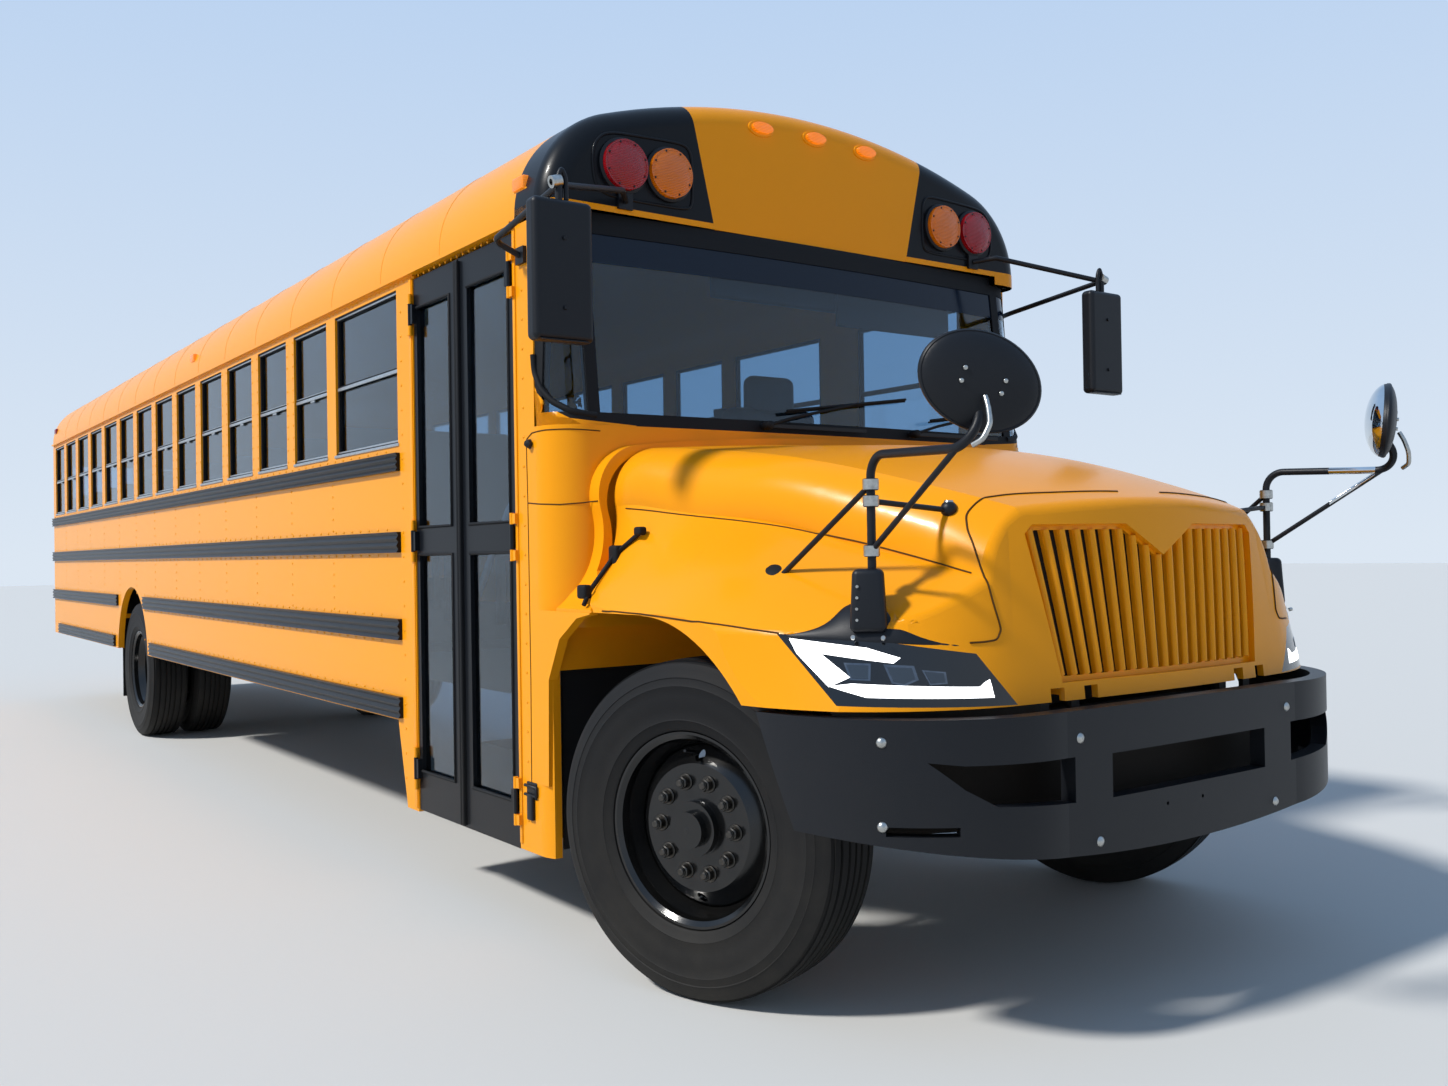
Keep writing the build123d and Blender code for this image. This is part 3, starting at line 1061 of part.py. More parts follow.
# Dashboard and steering wheel
dash = block(4330, 4470, -1020, 1020, 1480, 1700)
dash += block(4400, 4500, -980, 980, 1640, COWL_TOP_Z - 40)
for y in (-940.0, 940.0):
    dash += block(4420, 4454, y - 60, y + 60, FLOOR_Z, 1490)
WHEEL_AT = Pos(4100, 540, 1640) * Rot(0, -35, 0)
dash += WHEEL_AT * (Torus(215, 16) + Cylinder(40, 60) + Box(410, 30, 14) + Box(30, 410, 14))
dash += rod((4100, 540, 1640), (4400, 540, 1510), 25)

# Mud flaps behind front and rear wheels
flaps = []
flaps.extend(pair(block(-2985, -2975, 600, SIDE_IN, 260, 900)))
flaps.extend(pair(block(4440, 4450, 760, 1150, 330, floor_low)))

# Wipers: spindle from the foot of the windscreen, arm, blade
wipers = []
WIPER_Z = COWL_TOP_Z + 24.0
for y in (-350.0, 420.0):
    wiper = rod((4560, y, WIPER_Z), (4624, y, WIPER_Z), 11) - screen_solid(4, COWL_TOP_Z, SCREEN_TOP_Z)
    wiper += block(4612, 4624, y - 12, y + 500, WIPER_Z - 7, WIPER_Z + 7)
    wipers.append(wiper)

# Stop arm on the left side below the driver's window, folded back against the wall
STOP_AXIS_X = 3900.0
STOP_AXIS_Y = HALF + 18.0
STOP_Z = 1600.0
STOP_R = 230.0
STOP_REACH = 260.0
STOP_T = 8.0
stop_y = STOP_AXIS_Y + 6
octagon = []
for i in range(8):
    angle = math.radians(22.5 + 45 * i)
    octagon.append((STOP_AXIS_X - STOP_REACH + STOP_R * math.cos(angle), STOP_Z + STOP_R * math.sin(angle)))
stop_arm = prism_xz(octagon, stop_y, stop_y + STOP_T)
barrel, ears = hinge(Pos(STOP_AXIS_X, STOP_AXIS_Y, STOP_Z))
stop_arm += barrel
stop_arm += block(STOP_AXIS_X - 120, STOP_AXIS_X, stop_y - 1, stop_y + STOP_T, STOP_Z - 40, STOP_Z + 40) - post(STOP_AXIS_X, STOP_AXIS_Y, 0, 3000, HINGE_PIN + FIT)
for side in (-1, 1):
    ear_z = STOP_Z + side * EAR_MID
    ears += block(STOP_AXIS_X - 6, STOP_AXIS_X + 6, HALF - 2, STOP_AXIS_Y, ear_z - 18, ear_z + 18)
wall_left += ears

nodes = {
    "frame_rails": frame,
    "floor_pan": floor,
    "wheel_houses": wheel_houses,
    "entrance_steps": entrance_steps,
    "side_wall_right": wall_right,
    "side_wall_left": wall_left,
    "roof_shell": roof,
    "front_cap": cap_centre,
    "cap_lamp_corners": cap_corners,
    "rear_wall": rear,
    "cowl": cowl,
    "corner_panels": pair(corner_panel),
    "rub_rails": rails,
    "window_sashes": sashes,
    "window_glass": panes,
    "screen_surround": surround,
    "red_lamps": red,
    "amber_lamps": amber,
    "front_bumper": bumper,
    "rear_bumper": rear_bumper,
    "engine_block": engine,
    "radiator": radiator,
    "front_axle": front_axle,
    "leaf_springs": springs,
    "rear_axle": rear_axle,
    "driveshaft": shaft,
    "fuel_tank": tank,
    "exhaust": exhaust,
    "seats": seats,
    "seat_frames": seat_frames,
    "dashboard": dash,
    "flat_mirrors": pair(flat_box + lower_arm + upper_arm),
    "mud_flaps": flaps,
    "wipers": wipers,
    "hood_shell": hood,
    "grille": grille,
    "headlamps": pair(headlamp),
    "lamp_aprons": pair(apron),
    "crossview_mirrors": pair(mirror_tube + mirror_head),
    "door_leaf_rear": leaf_parts["rear"],
    "door_leaf_front": leaf_parts["front"],
    "door_glass_rear": leaf_glass["rear"],
    "door_glass_front": leaf_glass["front"],
    "emergency_door": exit_door,
    "emergency_glass": exit_glass,
    "stop_arm": stop_arm,
    "knuckle_left": knuckles[1],
    "knuckle_right": knuckles[-1],
    "tie_rod": tie_rod,
    "front_rim_left": steered(front_rim, 1),
    "front_rim_right": steered(mirrored(front_rim), -1),
    "front_tyre_left": steered(front_tyre, 1),
    "front_tyre_right": steered(mirrored(front_tyre), -1),
    "rear_rims_left": rear_rim,
    "rear_rims_right": mirrored(rear_rim),
    "rear_tyres_left": rear_tyres,
    "rear_tyres_right": [mirrored(t) for t in rear_tyres],
}
for name, shapes in nodes.items():
    save(name, shapes)
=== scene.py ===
"""School bus: finishes, trim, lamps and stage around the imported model."""

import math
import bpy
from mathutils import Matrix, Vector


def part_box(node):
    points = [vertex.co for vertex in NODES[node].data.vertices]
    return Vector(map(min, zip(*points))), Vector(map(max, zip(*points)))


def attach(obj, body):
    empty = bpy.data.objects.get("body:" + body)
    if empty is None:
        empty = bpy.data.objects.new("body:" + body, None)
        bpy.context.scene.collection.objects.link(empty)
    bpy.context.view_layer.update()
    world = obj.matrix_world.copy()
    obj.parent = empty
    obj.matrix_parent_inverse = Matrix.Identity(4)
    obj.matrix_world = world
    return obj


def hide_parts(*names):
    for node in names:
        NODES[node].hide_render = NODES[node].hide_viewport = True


bl_info = {
    "name": "School bus finishes",
    "version": (1, 0, 0),
    "blender": (4, 5, 0),
    "location": "View3D > Sidebar > School bus",
    "description": "Enamel, rubber, glass and small trim for a full-size school bus",
    "category": "Object",
}

import bpy
from mathutils import Matrix, Vector

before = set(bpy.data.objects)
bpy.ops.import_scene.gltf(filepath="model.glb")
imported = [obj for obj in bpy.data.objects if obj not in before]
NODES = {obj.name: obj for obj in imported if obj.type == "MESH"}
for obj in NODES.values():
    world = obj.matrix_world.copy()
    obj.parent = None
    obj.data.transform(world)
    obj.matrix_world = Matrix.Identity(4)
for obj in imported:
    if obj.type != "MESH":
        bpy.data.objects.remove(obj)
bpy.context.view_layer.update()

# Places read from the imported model, in metres
HALF_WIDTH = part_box("cap_lamp_corners")[1].y
CAP_FACE_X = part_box("cap_lamp_corners")[1].x
REAR_FACE_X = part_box("rear_wall")[0].x
REAR_AXLE_X = (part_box("rear_tyres_left")[0].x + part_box("rear_tyres_left")[1].x) / 2
TYRE_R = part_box("rear_tyres_left")[1].z / 2

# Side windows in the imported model: a row of like ones, the middle of the wide one ahead of it, their panes' plane
WINDOW_FIRST_X = -5.793
WINDOW_PITCH = 0.641
WINDOW_COUNT = 13
WIDE_WINDOW_X = 2.669
PANE_Y = -1.212

# Wheels: the front ones' steering angle and centres as in the photograph, the rear twins' place and spacing
STEER = math.radians(17.6)
FRONT_LEFT = Vector((4.968, 1.021, 0.520))
FRONT_RIGHT = Vector((5.080, -1.021, 0.520))
REAR_TYRE_Y = 1.05
TWIN_SPACING = 0.32

# The photograph's camera: eye, yaw, pitch and roll, lens and sensor in millimetres, frame in pixels
EYE = Vector((8.312, -3.304, 1.3615))
YAW, PITCH, ROLL = (math.radians(angle) for angle in (35.9905, 0.437, -0.902))
LENS, SENSOR = 31.559, 36.0
FRAME_WIDE, FRAME_HIGH = 1448, 1086

# Some outlines are drawn in the part's own frame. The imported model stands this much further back: in metres, and
# in millimetres along a line at 45 degrees to it.
PACK_SHIFT = 0.083
PACK_SHIFT_ACROSS = 58.69


# Settings that a user would change


class BusFinish(bpy.types.PropertyGroup):
    yellow: bpy.props.StringProperty(
        name="Body yellow", description="sRGB hex of the body enamel", default="EE9A10")
    black: bpy.props.StringProperty(
        name="Trim black", description="sRGB hex of the rails, doors and bumper", default="13161B")
    glass_tint: bpy.props.StringProperty(
        name="Glass tint", description="sRGB hex of the window glass", default="A4C0D6")
    gloss: bpy.props.FloatProperty(
        name="Enamel roughness", description="Roughness of the yellow enamel",
        default=0.26, min=0.0, max=1.0)


class BusTrim(bpy.types.PropertyGroup):
    rivet_radius: bpy.props.FloatProperty(
        name="Rivet radius", description="Head radius of a body rivet",
        default=0.0065, min=0.002, max=0.02, unit="LENGTH")
    rivet_pitch: bpy.props.FloatProperty(
        name="Rivet pitch", description="Spacing of the rivets along the eaves",
        default=0.055, min=0.02, max=0.2, unit="LENGTH")
    groove_depth: bpy.props.FloatProperty(
        name="Tread groove depth", description="Depth of the grooves round a tyre",
        default=0.012, min=0.0, max=0.02, unit="LENGTH")


# Node tools


def hex_linear(code):
    """An sRGB hex colour as linear RGBA."""
    out = []
    for i in (0, 2, 4):
        c = int(code[i:i + 2], 16) / 255
        out.append(c / 12.92 if c <= 0.04045 else ((c + 0.055) / 1.055) ** 2.4)
    return (*out, 1.0)


def darker(colour, share):
    return tuple(c * share for c in colour[:3]) + (1.0,)


def add_node(tree, kind, settings=None, links=None):
    """A node with its settings, values and incoming links."""
    node = tree.nodes.new(kind)
    for key, value in (settings or {}).items():
        if key in node.inputs:
            node.inputs[key].default_value = value
        else:
            setattr(node, key, value)
    for key, source in (links or {}).items():
        tree.links.new(source, node.inputs[key])
    return node


def new_material(name, **base):
    """A material with one Principled shader and the object's own coordinates."""
    mat = bpy.data.materials.new(name)
    mat.use_nodes = True
    tree = mat.node_tree
    shader = tree.nodes["Principled BSDF"]
    for key, value in base.items():
        shader.inputs[key.replace("_", " ")].default_value = value
    place = add_node(tree, "ShaderNodeTexCoord").outputs["Object"]
    return mat, tree, shader, place


def noise(tree, place, scale, detail=4.0, roughness=0.55):
    settings = {"Scale": scale, "Detail": detail, "Roughness": roughness}
    return add_node(tree, "ShaderNodeTexNoise", settings, {"Vector": place}).outputs["Fac"]


def ramp(tree, value, low, high, first, last):
    """value between low and high becomes a colour between first and last."""
    node = add_node(tree, "ShaderNodeValToRGB", links={"Fac": value})
    for end, position, colour in zip(node.color_ramp.elements, (low, high), (first, last)):
        end.position = position
        end.color = colour
    return node.outputs["Color"]


def bump(tree, shader, height, distance, strength=1.0):
    node = add_node(tree, "ShaderNodeBump", {"Distance": distance, "Strength": strength}, {"Height": height})
    tree.links.new(node.outputs["Normal"], shader.inputs["Normal"])


DUST = hex_linear("8C8371")
DUST_TOP_Z = 1.1


def dusted(tree, place, colour, share, top):
    """Colour with road dust that fades out from the ground up to height top."""
    z = add_node(tree, "ShaderNodeSeparateXYZ", links={"Vector": place}).outputs["Z"]
    settings = {"From Min": 0.0, "From Max": top, "To Min": share, "To Max": 0.0}
    fade = add_node(tree, "ShaderNodeMapRange", settings, {"Value": z}).outputs["Result"]
    patch = noise(tree, place, 7.0, 6.0, 0.65)
    mask = add_node(tree, "ShaderNodeMath", {"operation": "MULTIPLY"}, {0: fade, 1: patch}).outputs[0]
    mix = add_node(tree, "ShaderNodeMix", {"data_type": "RGBA"}, {"Factor": mask})
    mix.inputs["A"].default_value = colour
    mix.inputs["B"].default_value = DUST
    return mix.outputs["Result"]


# Materials, each named for what the real one is, and one sheet of painted shade

# Grain of each surface: cells per metre, detail, height in metres, strength. Orange peel and powder grain are about
# 1 mm across, pebble grain 0.5 mm and mould marks 2 mm. All are too fine for the render and are drawn 2 to 6 mm.
PEEL = (260.0, 2.0, 0.0004, 0.25)
PEBBLE = (420.0, 3.0, 0.0006, 0.5)
MOULD_MARKS = (180.0, 5.0, 0.0008, 0.5)
POWDER = (300.0, 3.0, 0.0004, 0.3)


def coated(name, code, dust_share, grain, top=DUST_TOP_Z, **base):
    """A finish of one colour with dust low down and a fine grain."""
    mat, tree, shader, place = new_material(name, **base)
    cells, detail, height, strength = grain
    tree.links.new(dusted(tree, place, hex_linear(code), dust_share, top), shader.inputs["Base Color"])
    bump(tree, shader, noise(tree, place, cells, detail), height, strength)
    return mat


def enamel(name, code, roughness, dust_share=0.08, shine=0.12):
    """Sprayed body enamel: a clear gloss with faint orange peel, dusty near the skirt."""
    return coated(name, code, dust_share, PEEL, Roughness=roughness, IOR=1.5, Specular_IOR_Level=shine,
                  Coat_Weight=shine * 0.5, Coat_Roughness=0.06)


def moulded_plastic(name, code, roughness=0.55):
    """Moulded ABS or polypropylene: fine pebble grain that breaks up the highlight."""
    return coated(name, code, 0.05, PEBBLE, 1.0, Roughness=roughness, IOR=1.46, Specular_IOR_Level=0.3)


def vulcanised_rubber(name, code, dust_share):
    """Moulded rubber: dull, slightly grey, with dust held in its surface."""
    return coated(name, code, dust_share, MOULD_MARKS, Roughness=0.66, IOR=1.5, Specular_IOR_Level=0.2)


def powder_coat(name, code, roughness):
    """Powder coat on steel: even black with a soft gloss and a little brake dust."""
    return coated(name, code, 0.03, POWDER, Roughness=roughness, IOR=1.5)


def bare_metal(name, code, roughness, grain=90.0):
    """Bare metal: two close tones in a drawn or cast grain of 1/grain metres, drawn coarse to show."""
    mat, tree, shader, place = new_material(name, Roughness=roughness, Metallic=1.0)
    tone = noise(tree, place, grain, 4.0)
    base = hex_linear(code)
    tree.links.new(ramp(tree, tone, 0.35, 0.65, darker(base, 0.75), base), shader.inputs["Base Color"])
    bump(tree, shader, tone, 0.0003, 0.3)
    return mat


def float_glass(name, code):
    """Tinted float glass: smooth, the tint in the pane, with the slow waver of toughened sheet, 0.6 m long."""
    mat, tree, shader, place = new_material(name, Roughness=0.02, IOR=1.45, Base_Color=hex_linear(code),
                                            Transmission_Weight=1.0)
    bump(tree, shader, noise(tree, place, 1.6, 1.0), 0.004, 0.06)
    return mat


def prism_lens(name, code, glow):
    """Moulded acrylic lens: deep clear colour in flat prism ribs, a little light held in it."""
    base = hex_linear(code)
    mat, tree, shader, place = new_material(name, Roughness=0.12, IOR=1.49, Transmission_Weight=0.25,
                                            Emission_Color=base, Emission_Strength=glow)
    tone = add_node(tree, "ShaderNodeTexWave", {"Scale": 55.0, "bands_direction": "Z"},
                    {"Vector": place}).outputs["Fac"]
    tree.links.new(ramp(tree, tone, 0.2, 0.8, darker(base, 0.6), base), shader.inputs["Base Color"])
    bump(tree, shader, tone, 0.002, 0.6)
    return mat


def seat_vinyl(name, code):
    """Upholstery vinyl: embossed leather grain of 4 mm with a low sheen."""
    mat, tree, shader, place = new_material(name, Roughness=0.5, IOR=1.5, Base_Color=hex_linear(code))
    cells = add_node(tree, "ShaderNodeTexVoronoi", {"Scale": 260.0}, {"Vector": place})
    bump(tree, shader, cells.outputs["Distance"], 0.0008, 0.6)
    return mat


def light_source(name, code, strength):
    """A lit light bar: an even white glow with no grain."""
    colour = hex_linear(code)
    return new_material(name, Roughness=0.3, Base_Color=colour, Emission_Color=colour,
                        Emission_Strength=strength)[0]


MATERIALS = {}

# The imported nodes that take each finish
NODE_FINISHES = {
    "yellow": "side_wall_right side_wall_left roof_shell front_cap rear_wall cowl corner_panels hood_shell grille "
              "emergency_door",
    "black": "cap_lamp_corners rub_rails rear_bumper door_leaf_rear door_leaf_front",
    "abs": "front_bumper dashboard flat_mirrors lamp_aprons crossview_mirrors wipers",
    "rubber": "screen_surround mud_flaps window_sashes",
    "chassis": "frame_rails fuel_tank leaf_springs radiator seat_frames",
    "iron": "engine_block front_axle rear_axle knuckle_left knuckle_right tie_rod driveshaft",
    "glass": "window_glass door_glass_rear door_glass_front emergency_glass",
    "red": "red_lamps", "amber": "amber_lamps", "lamp": "headlamps", "pipe": "exhaust", "vinyl": "seats",
    "floor": "floor_pan wheel_houses entrance_steps", "sign": "stop_arm",
    "rim": "front_rim_left front_rim_right rear_rims_left rear_rims_right",
    "tyre": "front_tyre_left front_tyre_right rear_tyres_left rear_tyres_right",
}


class BUS_OT_materials(bpy.types.Operator):
    """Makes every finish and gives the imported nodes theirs"""
    bl_idname = "bus.materials"
    bl_label = "Finishes"

    def execute(self, context):
        look = context.scene.bus_finish
        MATERIALS.update({
            "yellow": enamel("school_bus_enamel", look.yellow, look.gloss),
            "black": enamel("black_trim_enamel", look.black, 0.32, 0.05),
            "abs": moulded_plastic("black_moulded_plastic", "12151B", 0.42),
            "rubber": vulcanised_rubber("black_rubber", "101216", 0.08),
            "tyre": vulcanised_rubber("tyre_rubber", "101114", 0.10),
            "rim": powder_coat("gloss_black_wheel_coat", "07080A", 0.16),
            "chassis": powder_coat("chassis_black_coat", "141414", 0.5),
            "sash": bare_metal("anodised_aluminium", "C9CDD0", 0.35),
            "steel": bare_metal("zinc_plated_steel", "B9B9B5", 0.3),
            "iron": bare_metal("cast_iron", "4A4846", 0.65, 60.0),
            "pipe": bare_metal("exhaust_steel", "7A736A", 0.45, 40.0),
            "nut": bare_metal("blackened_steel_nuts", "55524E", 0.38, 120.0),
            "glass": float_glass("tinted_glass", look.glass_tint),
            "red": prism_lens("red_acrylic_lens", "9E0A16", 0.10),
            "amber": prism_lens("amber_acrylic_lens", "D87400", 0.12),
            "amber_bright": prism_lens("amber_marker_lens", "F58A12", 0.5),
            "vinyl": seat_vinyl("dark_green_vinyl", "1E2724"),
            "floor": vulcanised_rubber("ribbed_floor_rubber", "26282A", 0.1),
            # Sheet of the folding sign: flatter and cleaner than the body's enamel
            "sign": enamel("sign_red_sheet", "B3131A", 0.35, 0.05),
            "white": enamel("sign_white_sheet", "E8E8E4", 0.35, 0.05),
            # Headlamp: glossy dark mouldings that read as depth behind the cover, and the lit bar
            "lamp": enamel("smoked_polycarbonate", "0D1015", 0.05, 0.0, 0.5),
            "lamp_trim": bare_metal("dark_chrome_bezel", "6C727A", 0.18, 50.0),
            "projector": enamel("projector_lens", "2A3440", 0.04, 0.0, 0.5),
            "led": light_source("white_light_bar", "FFFFFF", 2.2),
            # Mirror silver: near black or sky, whatever it faces
            "mirror": bare_metal("silvered_mirror", "D8DCDE", 0.03, 4.0),
            # Ink fired on the windscreen's top edge: smooth as the glass it is on
            "shade": enamel("windscreen_shade_ink", "08182C", 0.08, 0.0, 0.2),
            # Shaded gaps between panels and a dark line along the hood's crease that is partly painted shade; painted
            # shade behind the grille and the bumper's openings: matt, with no dust to catch light
            "seam": vulcanised_rubber("dark_panel_gap", "4A2E08", 0.0),
            # Painted shade: a near black sheet that stands for the shade behind the grille bars and in the bumper's
            # openings
            "gap": vulcanised_rubber("painted_shade_sheet", "120B04", 0.0),
        })
        for key, names in NODE_FINISHES.items():
            for name in names.split():
                dress(NODES[name], key)
        return {"FINISHED"}


def dress(obj, key):
    """One finish for the whole object."""
    if not obj.material_slots:
        obj.data.materials.append(MATERIALS[key])
    for slot in obj.material_slots:
        slot.material = MATERIALS[key]


# Modelling tools


def begin():
    bpy.ops.object.select_all(action="DESELECT")


def only(obj):
    begin()
    obj.select_set(True)
    bpy.context.view_layer.objects.active = obj


def edit(action="SELECT"):
    """Edit mode with all or none selected, or with what code has selected where action is None."""
    bpy.ops.object.mode_set(mode="EDIT")
    if action:
        bpy.ops.mesh.select_all(action=action)


def every():
    bpy.ops.mesh.select_all(action="SELECT")


def done():
    bpy.ops.object.mode_set(mode="OBJECT")


def pick(obj, choose):
    """Edit mode with only the faces that choose takes."""
    edit("DESELECT")
    done()
    for face in obj.data.polygons:
        face.select = choose(face)
    edit(None)


def set_place():
    """The selected object's place goes into its mesh."""
    bpy.ops.object.transform_apply(location=True, rotation=True, scale=True)


def extrude(push):
    bpy.ops.mesh.extrude_region_move(TRANSFORM_OT_translate={"value": push})


def face_outward():
    bpy.ops.mesh.normals_make_consistent(inside=False)


def modified(obj, kind, **settings):
    """The piece with one modifier set and applied."""
    only(obj)
    step = obj.modifiers.new("step", kind)
    for key, value in settings.items():
        setattr(step, key, value)
    bpy.ops.object.modifier_apply(modifier="step")
    return obj


def join(parts):
    """One object from a list of them, or the one that is given."""
    if not isinstance(parts, list):
        return parts
    begin()
    for part in parts:
        part.select_set(True)
    bpy.context.view_layer.objects.active = parts[0]
    if len(parts) > 1:
        bpy.ops.object.join()
    return parts[0]


def settle(parts, name, key, body="bus", smooth=40.0):
    """One finished piece: its name, place in the mesh, smoothing, finish, body and material slot."""
    obj = join(parts)
    only(obj)
    obj.name = name
    set_place()
    bpy.ops.object.shade_smooth_by_angle(angle=math.radians(smooth))
    obj.data.materials.clear()
    obj.data.materials.append(MATERIALS[key])
    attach(obj, body)
    return obj


def copy_of(obj):
    twin = obj.copy()
    twin.data = obj.data.copy()
    bpy.context.collection.objects.link(twin)
    return twin


def placed(obj, matrix):
    only(obj)
    obj.matrix_world = matrix
    set_place()
    return obj


def other_side(obj):
    """The mirrored twin across the middle of the bus, faces outward."""
    twin = placed(copy_of(obj), Matrix.Diagonal((1, -1, 1, 1)))
    edit()
    bpy.ops.mesh.flip_normals()
    done()
    return twin


def both(parts):
    """The pieces and their mirrored twins as one."""
    obj = join(parts)
    return join([obj, other_side(obj)])


def row(obj, count, step):
    """The piece repeated along a line."""
    return modified(obj, "ARRAY", count=count, use_relative_offset=False, use_constant_offset=True,
                    constant_offset_displace=step)


def chain(points, closed=False):
    """Edges through the points, with a face between them where closed."""
    points = [Vector(p) for p in points]
    begin()
    bpy.ops.mesh.primitive_plane_add(size=0.01, location=(0, 0, 0))
    obj = bpy.context.object
    edit()
    bpy.ops.mesh.merge(type="CENTER")
    bpy.ops.transform.translate(value=points[0])
    for start, end in zip(points[:-1], points[1:]):
        extrude(end - start)
    if closed:
        every()
        bpy.ops.mesh.edge_face_add()
    done()
    return obj


def turned(profile, steps=64):
    """A ring turned about Y from (radius, y) points, modelled at the origin."""
    obj = chain([(r, y, 0) for r, y in profile], True)
    edit()
    bpy.ops.mesh.delete(type="ONLY_FACE")
    every()
    bpy.ops.mesh.spin(steps=steps, angle=math.tau, center=(0, 0, 0), axis=(0, 1, 0))
    every()
    bpy.ops.mesh.remove_doubles(threshold=0.00002)
    face_outward()
    done()
    return obj


def ring_at(profile, place, facing, steps=40):
    """A turned ring whose axis points along facing."""
    turn = Vector(facing).to_track_quat("Y", "Z").to_matrix().to_4x4()
    return placed(turned(profile, steps), Matrix.Translation(place) @ turn)


def around(count, radius, first=0.0):
    """Points spaced evenly on a circle, the first at an angle in degrees."""
    angles = [math.radians(360 / count * i + first) for i in range(count)]
    return [(radius * math.cos(angle), radius * math.sin(angle)) for angle in angles]


def bar(low, high, bevel=0.002, segments=2):
    """A bar between two corners with its edges rounded."""
    low, high = Vector(low), Vector(high)
    begin()
    bpy.ops.mesh.primitive_cube_add(size=1, location=(low + high) / 2, scale=high - low)
    obj = bpy.context.object
    set_place()
    edit()
    bpy.ops.mesh.bevel(offset=bevel, segments=segments, affect="EDGES")
    done()
    return obj


def stud(start, end, radius, vertices=16, bevel=0.0):
    """A round or hexagonal piece between two points, its ends chamfered."""
    start, end = Vector(start), Vector(end)
    begin()
    bpy.ops.mesh.primitive_cylinder_add(vertices=vertices, radius=radius, depth=(end - start).length,
                                        location=(start + end) / 2,
                                        rotation=(end - start).to_track_quat("Z", "Y").to_euler())
    obj = bpy.context.object
    set_place()
    edit()
    bpy.ops.mesh.bevel(offset=bevel or radius * 0.15, segments=1, affect="EDGES")
    done()
    return obj


def slab(points, push, bevel=0.0):
    """A flat outline given a thickness along push."""
    obj = chain(points, True)
    edit()
    extrude(push)
    every()
    face_outward()
    if bevel:
        bpy.ops.mesh.bevel(offset=bevel, segments=2, affect="EDGES")
    done()
    return obj


def wire(points, radius, on=None, closed=False, smooth=0, lift=0.0):
    """A round strand through the points, laid on a node's surface where one is given."""
    obj = chain(points)
    if closed:
        edit("DESELECT")
        done()
        for end in (0, len(points) - 1):
            obj.data.vertices[end].select = True
        edit(None)
        bpy.ops.mesh.edge_face_add()
        done()
    if smooth or on:
        edit()
        bpy.ops.mesh.subdivide(number_cuts=max(smooth, 6), smoothness=0.0)
        done()
    if smooth:
        modified(obj, "SMOOTH", iterations=smooth * 2)
    if on:
        modified(obj, "SHRINKWRAP", target=NODES[on], wrap_mode="ABOVE_SURFACE", offset=lift)
    bpy.ops.object.convert(target="CURVE")
    obj = bpy.context.object
    obj.data.bevel_depth = radius
    obj.data.bevel_resolution = 2
    obj.data.use_fill_caps = True
    bpy.ops.object.convert(target="MESH")
    return bpy.context.object


def beading(low, high, radius):
    """A closed strand round the upright rectangle between two corners."""
    (x0, y0, z0), (x1, y1, z1) = low, high
    return wire([(x0, y0, z0), (x1, y1, z0), (x1, y1, z1), (x0, y0, z1)], radius, closed=True)


def skin(rows):
    """A sheet through rows of points."""
    strips = []
    for low, high in zip(rows[:-1], rows[1:]):
        strips.append(join([chain(low), chain(high)]))
        edit()
        bpy.ops.mesh.bridge_edge_loops()
        done()
    obj = join(strips)
    edit()
    bpy.ops.mesh.remove_doubles(threshold=0.0001)
    face_outward()
    done()
    return obj


def cut_from(node, planes, lift=(0, 0, 0)):
    """A piece cut out of a copy of a node by planes that keep what is behind them."""
    begin()
    obj = copy_of(NODES[node])
    only(obj)
    edit()
    bpy.ops.mesh.remove_doubles(threshold=0.00002)
    for place, away in planes:
        every()
        bpy.ops.mesh.bisect(plane_co=place, plane_no=away, use_fill=True, clear_outer=True)
    every()
    bpy.ops.transform.translate(value=lift)
    done()
    return obj


# The photograph's lines of sight


def view_axes():
    """Right, up and ahead of the camera."""
    ahead = Vector((-math.cos(YAW) * math.cos(PITCH), math.sin(YAW) * math.cos(PITCH), math.sin(PITCH)))
    right = ahead.cross(Vector((0, 0, 1))).normalized()
    up = right.cross(ahead)
    side = right * math.cos(ROLL) + up * math.sin(ROLL)
    top = up * math.cos(ROLL) - right * math.sin(ROLL)
    return side, top, ahead


def sight(px, py):
    """The direction from the photograph's eye through a point of its frame."""
    side, top, ahead = view_axes()
    reach = LENS / SENSOR * FRAME_WIDE
    return ahead * reach + side * (px - FRAME_WIDE / 2) - top * (py - FRAME_HIGH / 2)


def on_sight(names, pixels):
    """Where the sight lines first meet one of the nodes."""
    points = []
    for pixel in pixels:
        way = sight(*pixel).normalized()
        hits = [NODES[name].ray_cast(EYE, way)[:2] for name in names]
        near = [place for hit, place in hits if hit]
        if not near:
            raise RuntimeError("No node at %s" % (pixel,))
        points.append(min(near, key=lambda place: (place - EYE).length))
    return points


# Pieces

HALF_TURN = Matrix.Rotation(math.pi, 4, "Z")
# Tyre node, body, and the place of a wheel whose outer side is modelled towards +Y
WHEELS = [
    ("front_tyre_left", "wheel_front_left", Matrix.Translation(FRONT_LEFT) @ Matrix.Rotation(STEER, 4, "Z")),
    ("front_tyre_right", "wheel_front_right",
     Matrix.Translation(FRONT_RIGHT) @ Matrix.Rotation(STEER + math.pi, 4, "Z")),
    ("rear_tyres_left", "wheels_rear_left", Matrix.Translation((REAR_AXLE_X, REAR_TYRE_Y, TYRE_R))),
    ("rear_tyres_right", "wheels_rear_right",
     Matrix.Translation((REAR_AXLE_X, -REAR_TYRE_Y, TYRE_R)) @ HALF_TURN),
]


